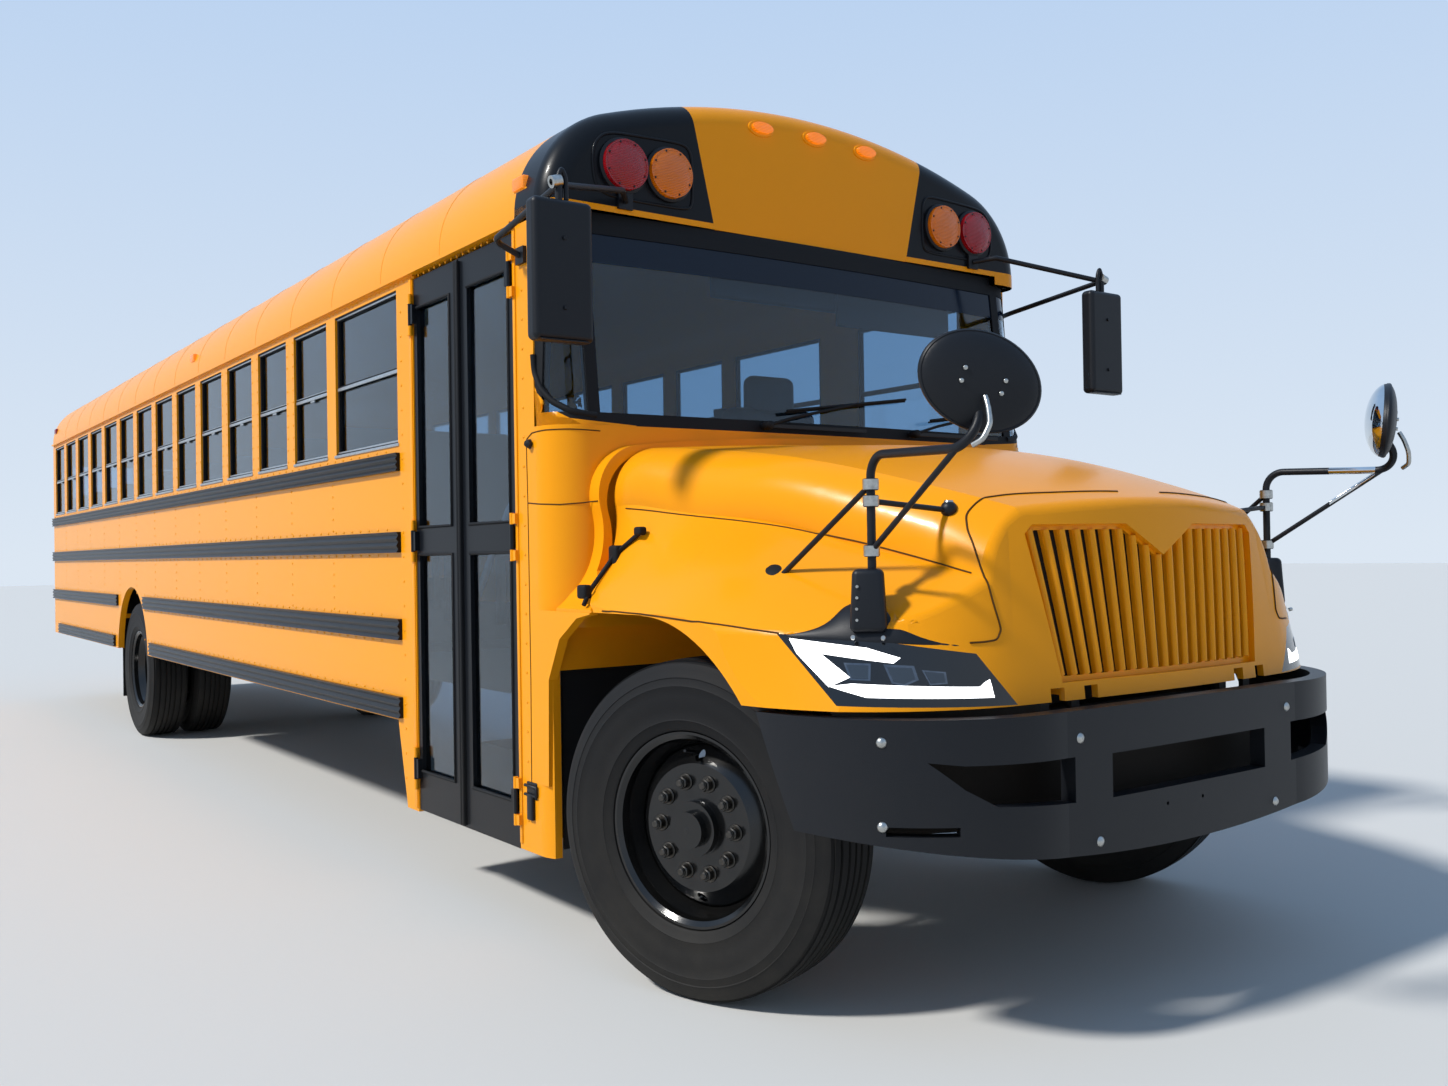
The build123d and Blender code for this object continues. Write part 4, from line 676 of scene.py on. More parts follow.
class BUS_OT_tyres(bpy.types.Operator):
    """Tyres with grooved treads, shoulder lugs and sidewall rings"""
    bl_idname = "bus.tyres"
    bl_label = "Tyres"

    def execute(self, context):
        deep = context.scene.bus_trim.groove_depth
        # Radius and half width, from the bead over the sidewall to the middle of the tread
        half = [(0.288, 0.098), (0.301, 0.103), (0.303, 0.118), (0.312, 0.124), (0.332, 0.129), (0.335, 0.132),
                (0.339, 0.130), (0.372, 0.137), (0.410, 0.1395), (0.436, 0.1385), (0.439, 0.1402), (0.444, 0.1378),
                (0.462, 0.134), (0.465, 0.1358), (0.469, 0.132), (0.489, 0.127), (0.507, 0.117), (0.5155, 0.106),
                (0.5172, 0.081), (0.5172 - deep, 0.079), (0.5172 - deep, 0.070), (0.5180, 0.068),
                (0.5190, 0.040), (0.519 - deep, 0.038), (0.519 - deep, 0.029), (0.5190, 0.027),
                (0.5198, 0.0055), (0.5198 - deep, 0.0045)]
        lug_turn = 6.0
        tyre = turned(half + [(r, -y) for r, y in reversed(half)], 120)

        def on_shoulder(face):
            y, r = abs(face.center.y), math.hypot(face.center.x, face.center.z)
            turn = math.degrees(math.atan2(face.center.z, face.center.x)) % lug_turn
            return 0.108 < y < 0.123 and 0.5 < r < 0.516 and turn < lug_turn / 2

        pick(tyre, on_shoulder)
        bpy.ops.mesh.inset(thickness=0.002, depth=-0.005)
        done()
        for node, body, place in WHEELS:
            rings = [copy_of(tyre)]
            if node.startswith("rear"):
                rings.append(placed(copy_of(tyre), Matrix.Translation((0, -TWIN_SPACING, 0))))
            made = settle(placed(join(rings), place), node + "_tread", "tyre", body)
            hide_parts(node)
        bpy.data.objects.remove(tyre)
        return {"FINISHED"}


class BUS_OT_hubs(bpy.types.Operator):
    """Wheel nuts, hub caps, flange bolts and valves"""
    bl_idname = "bus.hubs"
    bl_label = "Hubs"

    def execute(self, context):
        for node, body, place in WHEELS:
            # Where the wheel disc and the hub cap's face stand along the axle
            disc, face = (-0.148, 0.047) if node.startswith("rear") else (0.070, 0.127)
            nuts = []
            for x, z in around(10, 0.1429):
                for start, end, radius, sides, bevel in ((0.0, 0.006, 0.026, 20, 0.002),
                                                         (0.005, 0.027, 0.0205, 6, 0.003),
                                                         (0.02, 0.037, 0.0115, 12, 0.002)):
                    nuts.append(stud((x, disc + start, z), (x, disc + end, z), radius, sides, bevel))
            settle(placed(join(nuts), place), node + "_nuts", "nut", body, 30.0)
            cap = turned([(0.001, face), (0.030, face - 0.002), (0.046, face - 0.010), (0.057, face - 0.028),
                          (0.0575, face - 0.050), (0.0865, face - 0.054), (0.0865, face - 0.075),
                          (0.001, face - 0.075)], 48)
            bolts = [stud((x, face - 0.056, z), (x, face - 0.046, z), 0.0075, 6, 0.0015)
                     for x, z in around(6, 0.073, 15)]
            valve = stud((0, disc + 0.004, 0.232), (0, disc + 0.06, 0.243), 0.005, 10)
            settle(placed(join([cap] + bolts + [valve]), place), node + "_hub", "rim", body, 35.0)
        return {"FINISHED"}


def lamp_planes(outline, side):
    """Planes round an outline drawn across a front corner at 45 degrees: (along, height) in mm."""
    planes = []
    for (s0, z0), (s1, z1) in zip(outline, outline[1:] + outline[:1]):
        s, dz, ds = s0 - PACK_SHIFT_ACROSS, z1 - z0, s1 - s0
        away = Vector((dz * math.sqrt(0.5), dz * math.sqrt(0.5) * -side, -ds)).normalized()
        place = Vector((s * math.sqrt(0.5), s * math.sqrt(0.5) * -side, z0)) / 1000
        planes.append((place, away))
    planes.append((Vector((0, 0, 0)), Vector((0, -side, 0))))
    return planes


def on_lamp(outline, proud):
    """The outline's piece of both headlamps, standing proud of the surface."""
    parts = []
    for side in (-1, 1):
        lift = Vector((proud * math.sqrt(0.5), proud * math.sqrt(0.5) * side, 0))
        parts.append(cut_from("headlamps", lamp_planes(outline, side), lift))
    return join(parts)


class BUS_OT_headlamps(bpy.types.Operator):
    """Light bar and projector windows of the headlamps"""
    bl_idname = "bus.headlamps"
    bl_label = "Headlamps"

    def execute(self, context):
        bars = [
            [(3226, 1124), (3250, 1094), (3309, 1085), (3511, 1060), (3530, 1074), (3440, 1101)],
            [(3226, 1122), (3248, 1083), (3338, 998), (3396, 1024), (3309, 1089)],
            [(3337, 1000), (3439, 972), (3777, 962), (3770, 991), (3400, 1008)],
            [(3729, 985), (3772, 985), (3765, 1011), (3750, 1003)],
        ]
        for i, outline in enumerate(bars):
            settle(on_lamp(outline, 0.0012), "light_bar_%d" % i, "led", "hood", 30.0)
        windows = [
            [(3378, 1062), (3396, 1017), (3450, 1015), (3451, 1060)],
            [(3484, 1058), (3506, 1008), (3540, 1001), (3577, 1016), (3565, 1053)],
            [(3585, 1042), (3606, 1002), (3653, 1004), (3648, 1035)],
        ]
        for i, outline in enumerate(windows):
            s, z = (sum(p[k] for p in outline) / len(outline) for k in (0, 1))
            inner = [(s + (a - s) * 0.8, z + (b - z) * 0.78) for a, b in outline]
            settle(on_lamp(outline, 0.0010), "projector_frame_%d" % i, "lamp_trim", "hood", 30.0)
            settle(on_lamp(inner, 0.0022), "projector_%d" % i, "projector", "hood", 30.0)
        return {"FINISHED"}


class BUS_OT_warning_lamps(bpy.types.Operator):
    """Bezels, screws and domed lenses of the warning lamps and the rear lamps"""
    bl_idname = "bus.warning_lamps"
    bl_label = "Warning lamps"

    def execute(self, context):
        bezels, domes = [], {"red": [], "amber": []}
        # Each lamp's y, z, radius, depth and colour, on the front cap and on the rear wall
        front = [(0.904, 2.757, 0.090, 0.034, "red"), (0.709, 2.757, 0.090, 0.034, "amber")]
        rear = [(0.904, 2.737, 0.090, 0.034, "red"), (0.709, 2.737, 0.090, 0.034, "amber"),
                (1.0, 1.25, 0.088, 0.030, "red"), (0.78, 1.25, 0.088, 0.030, "amber"),
                (1.0, 1.56, 0.060, 0.026, "red")]
        for x, facing, lamps in ((CAP_FACE_X, 1, front), (REAR_FACE_X, -1, rear)):
            for y, z, r, deep, colour in lamps:
                rim = [(r + 0.001, 0.0), (r + 0.012, 0.001), (r + 0.011, 0.012), (r + 0.001, 0.016)]
                dome = [(0.001, deep + 0.012), (r * 0.35, deep + 0.0105), (r * 0.7, deep + 0.006), (r * 0.93, deep),
                        (r - 0.0005, deep - 0.006), (r - 0.0005, deep - 0.012), (0.001, deep - 0.012)]
                for side in (-1, 1):
                    place, way = Vector((x, side * y, z)), (facing, 0, 0)
                    bezels.append(ring_at(rim, place, way, 48))
                    domes[colour].append(ring_at(dome, place, way, 48))
                    for dy, dz in around(8, r * 0.9, 20):
                        spot = place + Vector((facing * (deep - 0.003), dy, dz))
                        bezels.append(stud(spot, spot + Vector((facing * 0.006, 0, 0)), 0.0042, 8))
        settle(bezels, "lamp_bezels", "abs")
        for colour, parts in domes.items():
            settle(parts, colour + "_lamp_domes", colour)
        return {"FINISHED"}


class BUS_OT_markers(bpy.types.Operator):
    """Clearance lamps on the roof front, rear and sides, and the trim of the lamp panels"""
    bl_idname = "bus.markers"
    bl_label = "Markers"

    def execute(self, context):
        feet, lenses = [], []
        for y in (-0.271, 0.0, 0.271):
            z = 3.017 - abs(y) * 0.03
            for reach, wide, tall, parts in ((0.006, 0.062, 0.032, feet), (0.020, 0.050, 0.022, lenses)):
                outline = [(CAP_FACE_X - 0.004, y + wide * c, z + tall * s) for c, s in around(24, 1.0)]
                parts.append(slab(outline, (reach + 0.004, 0, 0), 0.003))
        reds = [bar((REAR_FACE_X - 0.012, y - 0.05, z), (REAR_FACE_X + 0.002, y + 0.05, z + 0.04), 0.006)
                for y, z in ((0.0, 2.99), (-0.27, 2.985), (0.27, 2.985))]
        for x, group in ((4.212, lenses), (-0.489, lenses), (-6.08, reds)):
            for side in (-1, 1):
                # Foot, lens and stalk at the eave: half length, y, inner and outer reach, low, high, bevel
                for parts, half, y, inner, outer, low, high, bevel in (
                        (feet, 0.055, 1.188, 0.022, 0.022, 2.668, 2.676, 0.003),
                        (group, 0.045, 1.195, 0.024, 0.024, 2.674, 2.722, 0.008),
                        (feet, 0.020, 1.185, 0.006, 0.012, 2.630, 2.672, 0.003)):
                    parts.append(bar((x - half, side * y - inner, low), (x + half, side * y + outer, high), bevel))
        settle(feet, "marker_bases", "yellow")
        settle(lenses, "amber_markers", "amber_bright")
        settle(reds, "red_markers", "red")
        cap_strip = cut_from("cap_lamp_corners", [((0, 0, 2.607), (0, 0, 1))], (0.0015, 0, 0))
        settle(cap_strip, "cap_lower_strip", "yellow", smooth=30.0)
        outline = [(-0.60, 2.66), (-0.60, 2.84), (-0.62, 2.875), (-0.66, 2.885), (-0.93, 2.875), (-0.985, 2.86),
                   (-1.02, 2.82), (-1.03, 2.76), (-1.02, 2.68), (-0.99, 2.652), (-0.93, 2.64), (-0.63, 2.64)]
        emboss = wire([(CAP_FACE_X, y, z) for y, z in outline], 0.006, closed=True, smooth=6)
        settle(both(emboss), "lamp_panel_emboss", "black", smooth=60.0)
        return {"FINISHED"}


class BUS_OT_nose(bpy.types.Operator):
    """Panel seams of the hood and cowl, a dark line along the hood's crease that is partly painted shade, cowl knobs
    and hood latches
    """
    bl_idname = "bus.nose"
    bl_label = "Nose trim"

    def execute(self, context):
        panel = [(5.926, -0.063, 1.523), (5.891, -0.330, 1.520), (5.849, -0.498, 1.514), (5.832, -0.605, 1.499),
                 (5.826, -0.657, 1.457), (5.853, -0.681, 1.414), (5.877, -0.685, 1.377), (5.921, -0.695, 1.295),
                 (5.948, -0.687, 1.213), (5.958, -0.676, 1.162), (5.962, -0.673, 1.140), (5.963, -0.690, 1.114),
                 (5.954, -0.728, 1.110), (5.937, -0.779, 1.109)]
        # The others are seen in the photograph, as points of its frame
        crease = [(622, 508), (650, 510.7), (700, 516.7), (753, 522.7), (800, 530), (860, 541.7), (916.7, 556.7),
                  (981.7, 576)]
        skirt = [(600, 611), (616.7, 611.7), (650, 615), (700, 622.5), (750, 629.5), (784, 634)]
        # The dark line along the crease stands for the seam there and, in part, for painted shade in the crease
        lines = [(panel, 0.0028), (on_sight(["hood_shell"], crease), 0.0022), (on_sight(["hood_shell"], skirt), 0.0026)]
        seams = [wire(line, radius, "hood_shell", smooth=4, lift=0.0008) for line, radius in lines]
        settle(both(seams), "hood_seams", "seam", "hood", 60.0)
        skins = ["cowl", "corner_panels", "side_wall_right"]
        on_cowl = [[(528, 503), (540, 504), (560, 504.5), (580, 503), (598, 501)],
                   [(526, 446), (527, 439), (532, 433), (545, 430), (570, 429), (600, 431)]]
        upright = [(526.5, 446), (528, 503), (529, 560), (530, 620), (531, 680), (531.5, 740), (532, 800)]
        seams = [wire(on_sight(skins, line), 0.0022, "cowl", lift=0.0005) for line in on_cowl]
        seams.append(wire(on_sight(skins, upright), 0.0022))
        settle(both(seams), "cowl_seams", "seam", smooth=60.0)
        place = on_sight(["cowl", "side_wall_right"], [(530.5, 444)])[0]
        knob = ring_at([(0.0003, 0.026), (0.012, 0.024), (0.016, 0.014), (0.010, 0.008), (0.018, 0.0),
                        (0.0003, -0.004)], place, (0.5, -0.87, 0), 20)
        settle(both(knob), "cowl_latch_knobs", "abs", smooth=50.0)
        strap = [(4.741, -1.049, 1.437), (4.700, -1.060, 1.410), (4.628, -1.082, 1.362), (4.600, -1.125, 1.290),
                 (4.627, -1.185, 1.240), (4.645, -1.222, 1.185)]
        latch = [wire(strap, 0.0085, smooth=6), bar((4.600, -1.096, 1.325), (4.652, -1.056, 1.392), 0.010, 3),
                 bar((4.722, -1.070, 1.424), (4.764, -1.040, 1.452), 0.008, 3),
                 bar((4.586, -1.212, 1.215), (4.640, -1.180, 1.262), 0.009, 3)]
        settle(both(latch), "hood_latches", "rubber", "hood", 45.0)
        return {"FINISHED"}


class BUS_OT_aprons(bpy.types.Operator):
    """The hood's skin over the headlamps, and the boots with the mirror towers on it"""
    bl_idname = "bus.aprons"
    bl_label = "Lamp aprons"

    def execute(self, context):
        across = Vector((1, 1, 0)).normalized()
        tower = Vector((5.765, -0.975, 0))
        tower_half = 0.043
        sides = []
        for way in (1, -1):
            edge = tower - across * tower_half * way
            sides.append(cut_from("lamp_aprons", [(edge, across * way), ((0, 0, 0), (0, 1, 0))]))
        filled = settle(both(sides), "apron_hood_skin", "yellow", "hood", 30.0)
        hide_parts("lamp_aprons")
        # Boot: its upper and lower edge, in millimetres
        top = [(5655, -1117, 1131), (5709, -1084, 1141), (5747, -1044, 1160), (5752, -1010, 1188), (5758, -980, 1216),
               (5792, -946, 1226), (5836, -920, 1219), (5872, -922, 1192), (5922, -922, 1150), (5969, -873, 1117),
               (6020, -781, 1102)]
        low = [(5660, -1117, 1124), (5716, -1090, 1120), (5766, -1061, 1117), (5799, -1042, 1115), (5827, -1026, 1113),
               (5860, -1002, 1111), (5887, -978, 1109), (5908, -955, 1108), (5935, -926, 1106), (5971, -875, 1102),
               (6021, -782, 1096)]
        out = Vector((0.62, -0.62, 0.48)).normalized()
        back = Vector((PACK_SHIFT, 0, 0))
        rows = []
        for share in (0.0, 0.25, 0.5, 0.75, 1.0):
            line = []
            for a, b in zip(low, top):
                a, b = Vector(a) / 1000, Vector(b) / 1000
                swell = 0.11 * (b - a).length * 4 * share * (1 - share)
                line.append(a + (b - a) * share + out * (0.0035 + swell) - back)
            rows.append(line)
        boot = modified(skin(rows), "SOLIDIFY", thickness=0.010, offset=-1.0)
        boot = modified(boot, "SUBSURF", levels=2, render_levels=2)
        begin()
        bpy.ops.mesh.primitive_cube_add(size=1, location=(0, 0, 1.2275), scale=(0.064, 0.084, 0.170))
        post = bpy.context.object
        set_place()
        pick(post, lambda face: face.normal.z < -0.5)
        bpy.ops.transform.resize(value=(1.30, 1.20, 1.0), center_override=(0, 0, 1.1425))
        every()
        bpy.ops.mesh.bevel(offset=0.016, segments=4, affect="EDGES")
        done()
        turn = Matrix.Translation(tower) @ Matrix.Rotation(math.radians(-45), 4, "Z")
        settle(both([boot, placed(post, turn)]), "apron_boots", "abs", "hood", 50.0)
        screws = [stud((0.034, y, z), (0.040, y, z), 0.0045, 10)
                  for y, z in ((-0.030, 1.175), (-0.030, 1.205), (-0.029, 1.235), (-0.028, 1.265))]
        screws += [stud((0.050, y, z), (0.063, y, z + 0.004), 0.0065, 12)
                   for y, z in ((-0.040, 1.128), (0.040, 1.126))]
        settle(both(placed(join(screws), turn)), "apron_screws", "steel", "hood")
        return {"FINISHED"}


def nose_x(y, z, back):
    """The hood's front face at a height, less a depth."""
    share = (z - 0.930) / 0.630
    centre, corner, half = 6.029 - 0.036 * share, 5.996 - 0.083 * share, 0.652 - 0.062 * share
    return centre - (centre - corner) * (y / half) ** 2 - back


class BUS_OT_grille(bpy.types.Operator):
    """Rounded bar fronts, and a dark sheet between them that is painted shade"""
    bl_idname = "bus.grille"
    bl_label = "Grille"

    def execute(self, context):
        rows = []
        for z, half in ((0.990, 0.465), (1.100, 0.487), (1.210, 0.508), (1.320, 0.528), (1.422, 0.545)):
            ys = [half * (k / 6 - 1) for k in range(13)]
            rows.append([(nose_x(y, z, 0.036), y, z) for y in ys])
        # Dark sheet behind the bar fronts: painted shade seen in the gaps between the bars
        grille_shade_sheet = modified(skin(rows), "SOLIDIFY", thickness=0.002, offset=0.0)
        settle(grille_shade_sheet, "grille_painted_shade", "gap", "hood", 60.0)
        low, high, opening_low, opening_tall = 0.992, 1.424, 0.975, 0.468
        bars = []
        for i in range(-9, 10):
            # The V shortens the middle bars
            end = 1.345 + abs(i) * 0.030 if abs(i) < 3 else high
            line = []
            for k in range(6):
                z = low + (end - low) * k / 5
                y = i * (0.050 + 0.008 * (z - opening_low) / opening_tall)
                line.append((nose_x(y, z, 0.0225), y, z))
            bars.append(wire(line, 0.0125, smooth=3))
        settle(bars, "grille_bar_fronts", "yellow", "hood", 60.0)
        return {"FINISHED"}


def sleeve(bore, outer, half, place, facing):
    """A clamp round an arm."""
    return ring_at([(bore, -half), (outer, -half), (outer, half), (bore, half)], place, facing, 20)


class BUS_OT_mirrors(bpy.types.Operator):
    """Mirror glasses, rims, clamps, loops and brace pads"""
    bl_idname = "bus.mirrors"
    bl_label = "Mirrors"

    def execute(self, context):
        # The oval head on the right: middle, turn and half sizes
        centre = Vector((6.183, -0.981, 1.769))
        turn = (Matrix.Rotation(math.radians(-29.7), 4, "Z") @ Matrix.Rotation(math.radians(5.7), 4, "Y")
                @ Matrix.Rotation(math.radians(-22.0), 4, "X"))
        half_wide, half_tall = 0.155, 0.117
        away = (turn @ Vector((1, 0, 0))).normalized()
        glasses = []
        for side in (-1, 1):
            way = Vector((away.x, away.y * -side, away.z))
            spot = Vector((centre.x, centre.y * -side, centre.z))
            planes = [(spot - way * 0.012, way), (spot - way * 0.2, -way),
                      (spot - Vector((0.2, 0, 0)), Vector((-1, 0, 0)))]
            glasses.append(cut_from("crossview_mirrors", planes, -way * 0.0015))
        settle(glasses, "crossview_glasses", "mirror", "hood", 60.0)
        rim = turned([(1.000, -0.006), (1.030, -0.002), (1.030, 0.006), (1.000, 0.010), (0.965, 0.008)], 64)
        rim = placed(rim, Matrix.Translation(centre) @ turn @ Matrix.Rotation(math.radians(-90), 4, "Z")
                     @ Matrix.Diagonal((half_wide, 1.0, half_tall, 1.0)))
        settle(both(rim), "crossview_rims", "abs", "hood", 50.0)
        hook = [(6.205, -1.040, 1.607), (6.235, -1.030, 1.622), (6.243, -1.012, 1.660), (6.232, -1.006, 1.700),
                (6.216, -1.000, 1.732)]
        metal = [wire(hook, 0.0075, smooth=4)]
        for u, v in ((-0.055, 0.012), (-0.052, -0.020), (0.050, 0.020), (0.052, -0.012)):
            spot = centre + turn @ Vector((0.029, u, v))
            metal.append(stud(spot, spot + away * 0.009, 0.006, 10))
        for z in (1.360, 1.495, 1.540):
            metal.append(sleeve(0.0125, 0.0225, 0.014, (5.765, -0.960, z), (0, 0, 1)))
        metal.append(stud((5.779, -0.676, 1.455), (5.779, -0.676, 1.50), 0.014, 16))
        settle(both(metal), "mirror_clamps", "steel", "hood", 50.0)
        # The flat mirrors beside the windscreen: loop and clamp on the arm
        arm_x = 4.767
        grip = [(arm_x, y, z) for y, z in ((-1.358, 2.478), (-1.358, 2.560), (-1.344, 2.590), (-1.329, 2.560),
                                           (-1.329, 2.478))]
        settle(both(wire(grip, 0.0085, smooth=4)), "flat_mirror_loops", "abs", smooth=60.0)
        clamp = sleeve(0.010, 0.020, 0.017, (arm_x, -1.366, 2.545), (0, 1, 0.3))
        settle(both(clamp), "flat_mirror_clamps", "steel", smooth=50.0)
        pad = ring_at([(0.001, 0.016), (0.014, 0.016), (0.036, 0.006), (0.038, -0.006), (0.001, -0.006)],
                      (5.384, -1.003, 1.303), (0.1, -0.55, 0.83), 24)
        settle(both(pad), "brace_pads", "rubber", "hood", 50.0)
        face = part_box("flat_mirrors")[1].x
        back = face - 0.064
        plates = [bar((back - 0.003, -1.447, low), (back + 0.004, -1.262, high), 0.003)
                  for low, high in ((2.19, 2.47), (2.05, 2.175))]
        settle(both(plates), "flat_mirror_glasses", "mirror")
        trim = [bar((face - 0.006, -1.440, 2.035), (face + 0.002, -1.268, 2.040), 0.002)]
        for z in (2.36, 2.14):
            trim.append(stud((face - 0.002, -1.3545, z), (face + 0.006, -1.3545, z), 0.007, 12))
        settle(both(trim), "flat_mirror_screws", "abs")
        return {"FINISHED"}


class BUS_OT_glazing(bpy.types.Operator):
    """Windscreen shade band, header and corners, wiper blades, sash rails, sills and gaskets"""
    bl_idname = "bus.glazing"
    bl_label = "Glazing"

    def execute(self, context):
        band = cut_from("window_glass", [((4.25, 0, 0), (-1, 0, 0)), ((0, 0, 2.40), (0, 0, -1))], (0.0012, 0, 0))
        settle(band, "windscreen_shade_band", "shade", smooth=30.0)
        head_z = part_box("screen_surround")[1].z
        header = cut_from("screen_surround", [((0, 0, head_z - 0.040), (0, 0, -1))], (-0.006, 0, 0.034))
        settle(header, "screen_header", "rubber", smooth=30.0)
        # The cowl's curve over the windscreen's lower corner, as points of the photograph's frame
        rays = [sight(*pixel) for pixel in ((529, 355), (530, 373), (537, 393), (550, 408), (570, 418), (600, 421.5))]
        corners = []
        for first, second in zip(rays[:-1], rays[1:]):
            planes = [(EYE, second.cross(first).normalized()), ((0, 0, 1.965), (0, 0, 1)), ((0, -0.90, 0), (0, 1, 0))]
            corners.append(cut_from("screen_surround", planes, Vector((0.0012, -0.0012, 0))))
        settle(both(corners), "screen_corner_fillets", "yellow")
        curve = on_sight(["screen_surround", "window_glass", "cowl"],
                         [(533, 352), (534.5, 372), (541, 389.5), (553, 402), (572, 411.5), (600, 416)])
        settle(both(wire(curve, 0.012, smooth=3)), "screen_corner_gaskets", "rubber", smooth=60.0)
        parts = []
        for y in (-0.35, 0.42):
            hub = Vector((4.540, y, 1.839))
            parts.append(stud((4.520, y, 1.839), (4.560, y, 1.839), 0.017, 20, 0.004))
            # Arm, blade and its spine, from the hub, with their radii
            for points, radius in ((((0, 0, 0), (0.004, 0.12, 0.035), (-0.020, 0.45, 0.105)), 0.006),
                                   (((-0.010, 0.10, 0.062), (-0.032, 0.75, 0.145)), 0.005),
                                   (((-0.020, 0.10, 0.055), (-0.038, 0.75, 0.138)), 0.004)):
                parts.append(wire([hub + Vector(point) for point in points], radius))
        settle(parts, "wiper_blades", "rubber", smooth=50.0)
        # Latch, rails and sill across each window: half lengths on the like ones and on the wide one, y, z, bevel
        strips = [
            (0.030, 0.0, -1.209, -1.200, 2.153, 2.166, 0.003), (0.240, 0.377, -1.2135, -1.2055, 2.163, 2.179, 0.002),
            (0.240, 0.377, -1.2135, -1.2055, 1.861, 1.872, 0.002),
            (0.240, 0.377, -1.2135, -1.2055, 2.503, 2.511, 0.002),
            (0.237, 0.0, -1.2125, -1.2055, 2.186, 2.190, 0.001), (0.262, 0.404, -1.2255, -1.212, 1.843, 1.857, 0.003),
        ]
        # The wide window's middle rail has a backing strip
        pieces = [bar((2.30, -1.2125, 2.163), (3.04, -1.2055, 2.174), 0.002)]
        for half, wide, y0, y1, low, high, bevel in strips:
            first = bar((WINDOW_FIRST_X - half, y0, low), (WINDOW_FIRST_X + half, y1, high), bevel)
            pieces.append(row(first, WINDOW_COUNT, (WINDOW_PITCH, 0, 0)))
            if wide:
                pieces.append(bar((WIDE_WINDOW_X - wide, y0, low), (WIDE_WINDOW_X + wide, y1, high), bevel))
        settle(both(pieces), "sash_rails", "sash")
        low, high = 1.860, 2.514
        first, wide = (beading((x - half, PANE_Y, low), (x + half, PANE_Y, high), 0.0055)
                       for x, half in ((WINDOW_FIRST_X, 0.251), (WIDE_WINDOW_X, 0.387)))
        settle(both([row(first, WINDOW_COUNT, (WINDOW_PITCH, 0, 0)), wide]), "sash_gaskets", "rubber", smooth=60.0)
        return {"FINISHED"}


def rivet_line(head, x, z, count, step):
    """Rivets in a line on the right wall."""
    return row(placed(copy_of(head), Matrix.Translation((x, -HALF_WIDTH, z))), count, step)


class BUS_OT_rivets(bpy.types.Operator):
    """Rivet rows along the eaves, window posts, panel joints, rub rails and door posts"""
    bl_idname = "bus.rivets"
    bl_label = "Rivets"

    def execute(self, context):
        trim = context.scene.bus_trim
        size, pitch = trim.rivet_radius, trim.rivet_pitch
        head = turned([(0.0003, size * 0.55), (size * 0.6, size * 0.42), (size, 0.0), (size, -0.001),
                       (0.0003, -0.001)], 8)
        head = placed(head, HALF_TURN)
        post_x = WINDOW_FIRST_X + WINDOW_PITCH / 2
        parts = [rivet_line(head, -6.10, 2.538, int(10.2 / pitch), (pitch, 0, 0))]
        post = [rivet_line(head, post_x + dx, 1.875, 11, (0, 0, 0.062)) for dx in (-0.045, 0.045)]
        parts.append(row(join(post), WINDOW_COUNT - 1, (WINDOW_PITCH, 0, 0)))
        for z in (1.120, 1.495):
            parts.append(row(rivet_line(head, post_x, z, 5, (0, 0, 0.055)), WINDOW_COUNT, (WINDOW_PITCH, 0, 0)))
        # Along the rub rails, in two stretches where the wheel arch parts them
        for z in (1.828, 1.372, 1.485, 0.996, 1.110, 0.775):
            for x0, x1 in (((-6.1, -2.98), (-2.0, 3.05)) if z < 1.2 else ((-6.1, 3.05),)):
                parts.append(rivet_line(head, x0, z, int((x1 - x0) / (pitch * 2)), (pitch * 2, 0, 0)))
        for x in (3.105, 4.235):
            parts.append(rivet_line(head, x, 0.42, 20, (0, 0, 0.105)))
        settle(both(parts), "body_rivets", "yellow", smooth=60.0)
        bpy.data.objects.remove(head)
        return {"FINISHED"}


class BUS_OT_roof_bows(bpy.types.Operator):
    """Raised seams over the roof bows"""
    bl_idname = "bus.roof_bows"
    bl_label = "Roof bows"

    def execute(self, context):
        half, eave_z, raised = 0.02, 2.575, 0.0008
        wider = Matrix.Translation((0, 0, raised)) @ Matrix.Diagonal((1, 1.0007, 1, 1))
        bows = []
        for i in range(WINDOW_COUNT + 2):
            x = WINDOW_FIRST_X + WINDOW_PITCH * (i + 0.5)
            bow = cut_from("roof_shell", [((x + half, 0, 0), (1, 0, 0)), ((x - half, 0, 0), (-1, 0, 0)),
                                          ((0, 0, eave_z), (0, 0, -1))])
            bows.append(placed(bow, wider))
        settle(bows, "roof_bow_seams", "yellow", smooth=30.0)
        return {"FINISHED"}


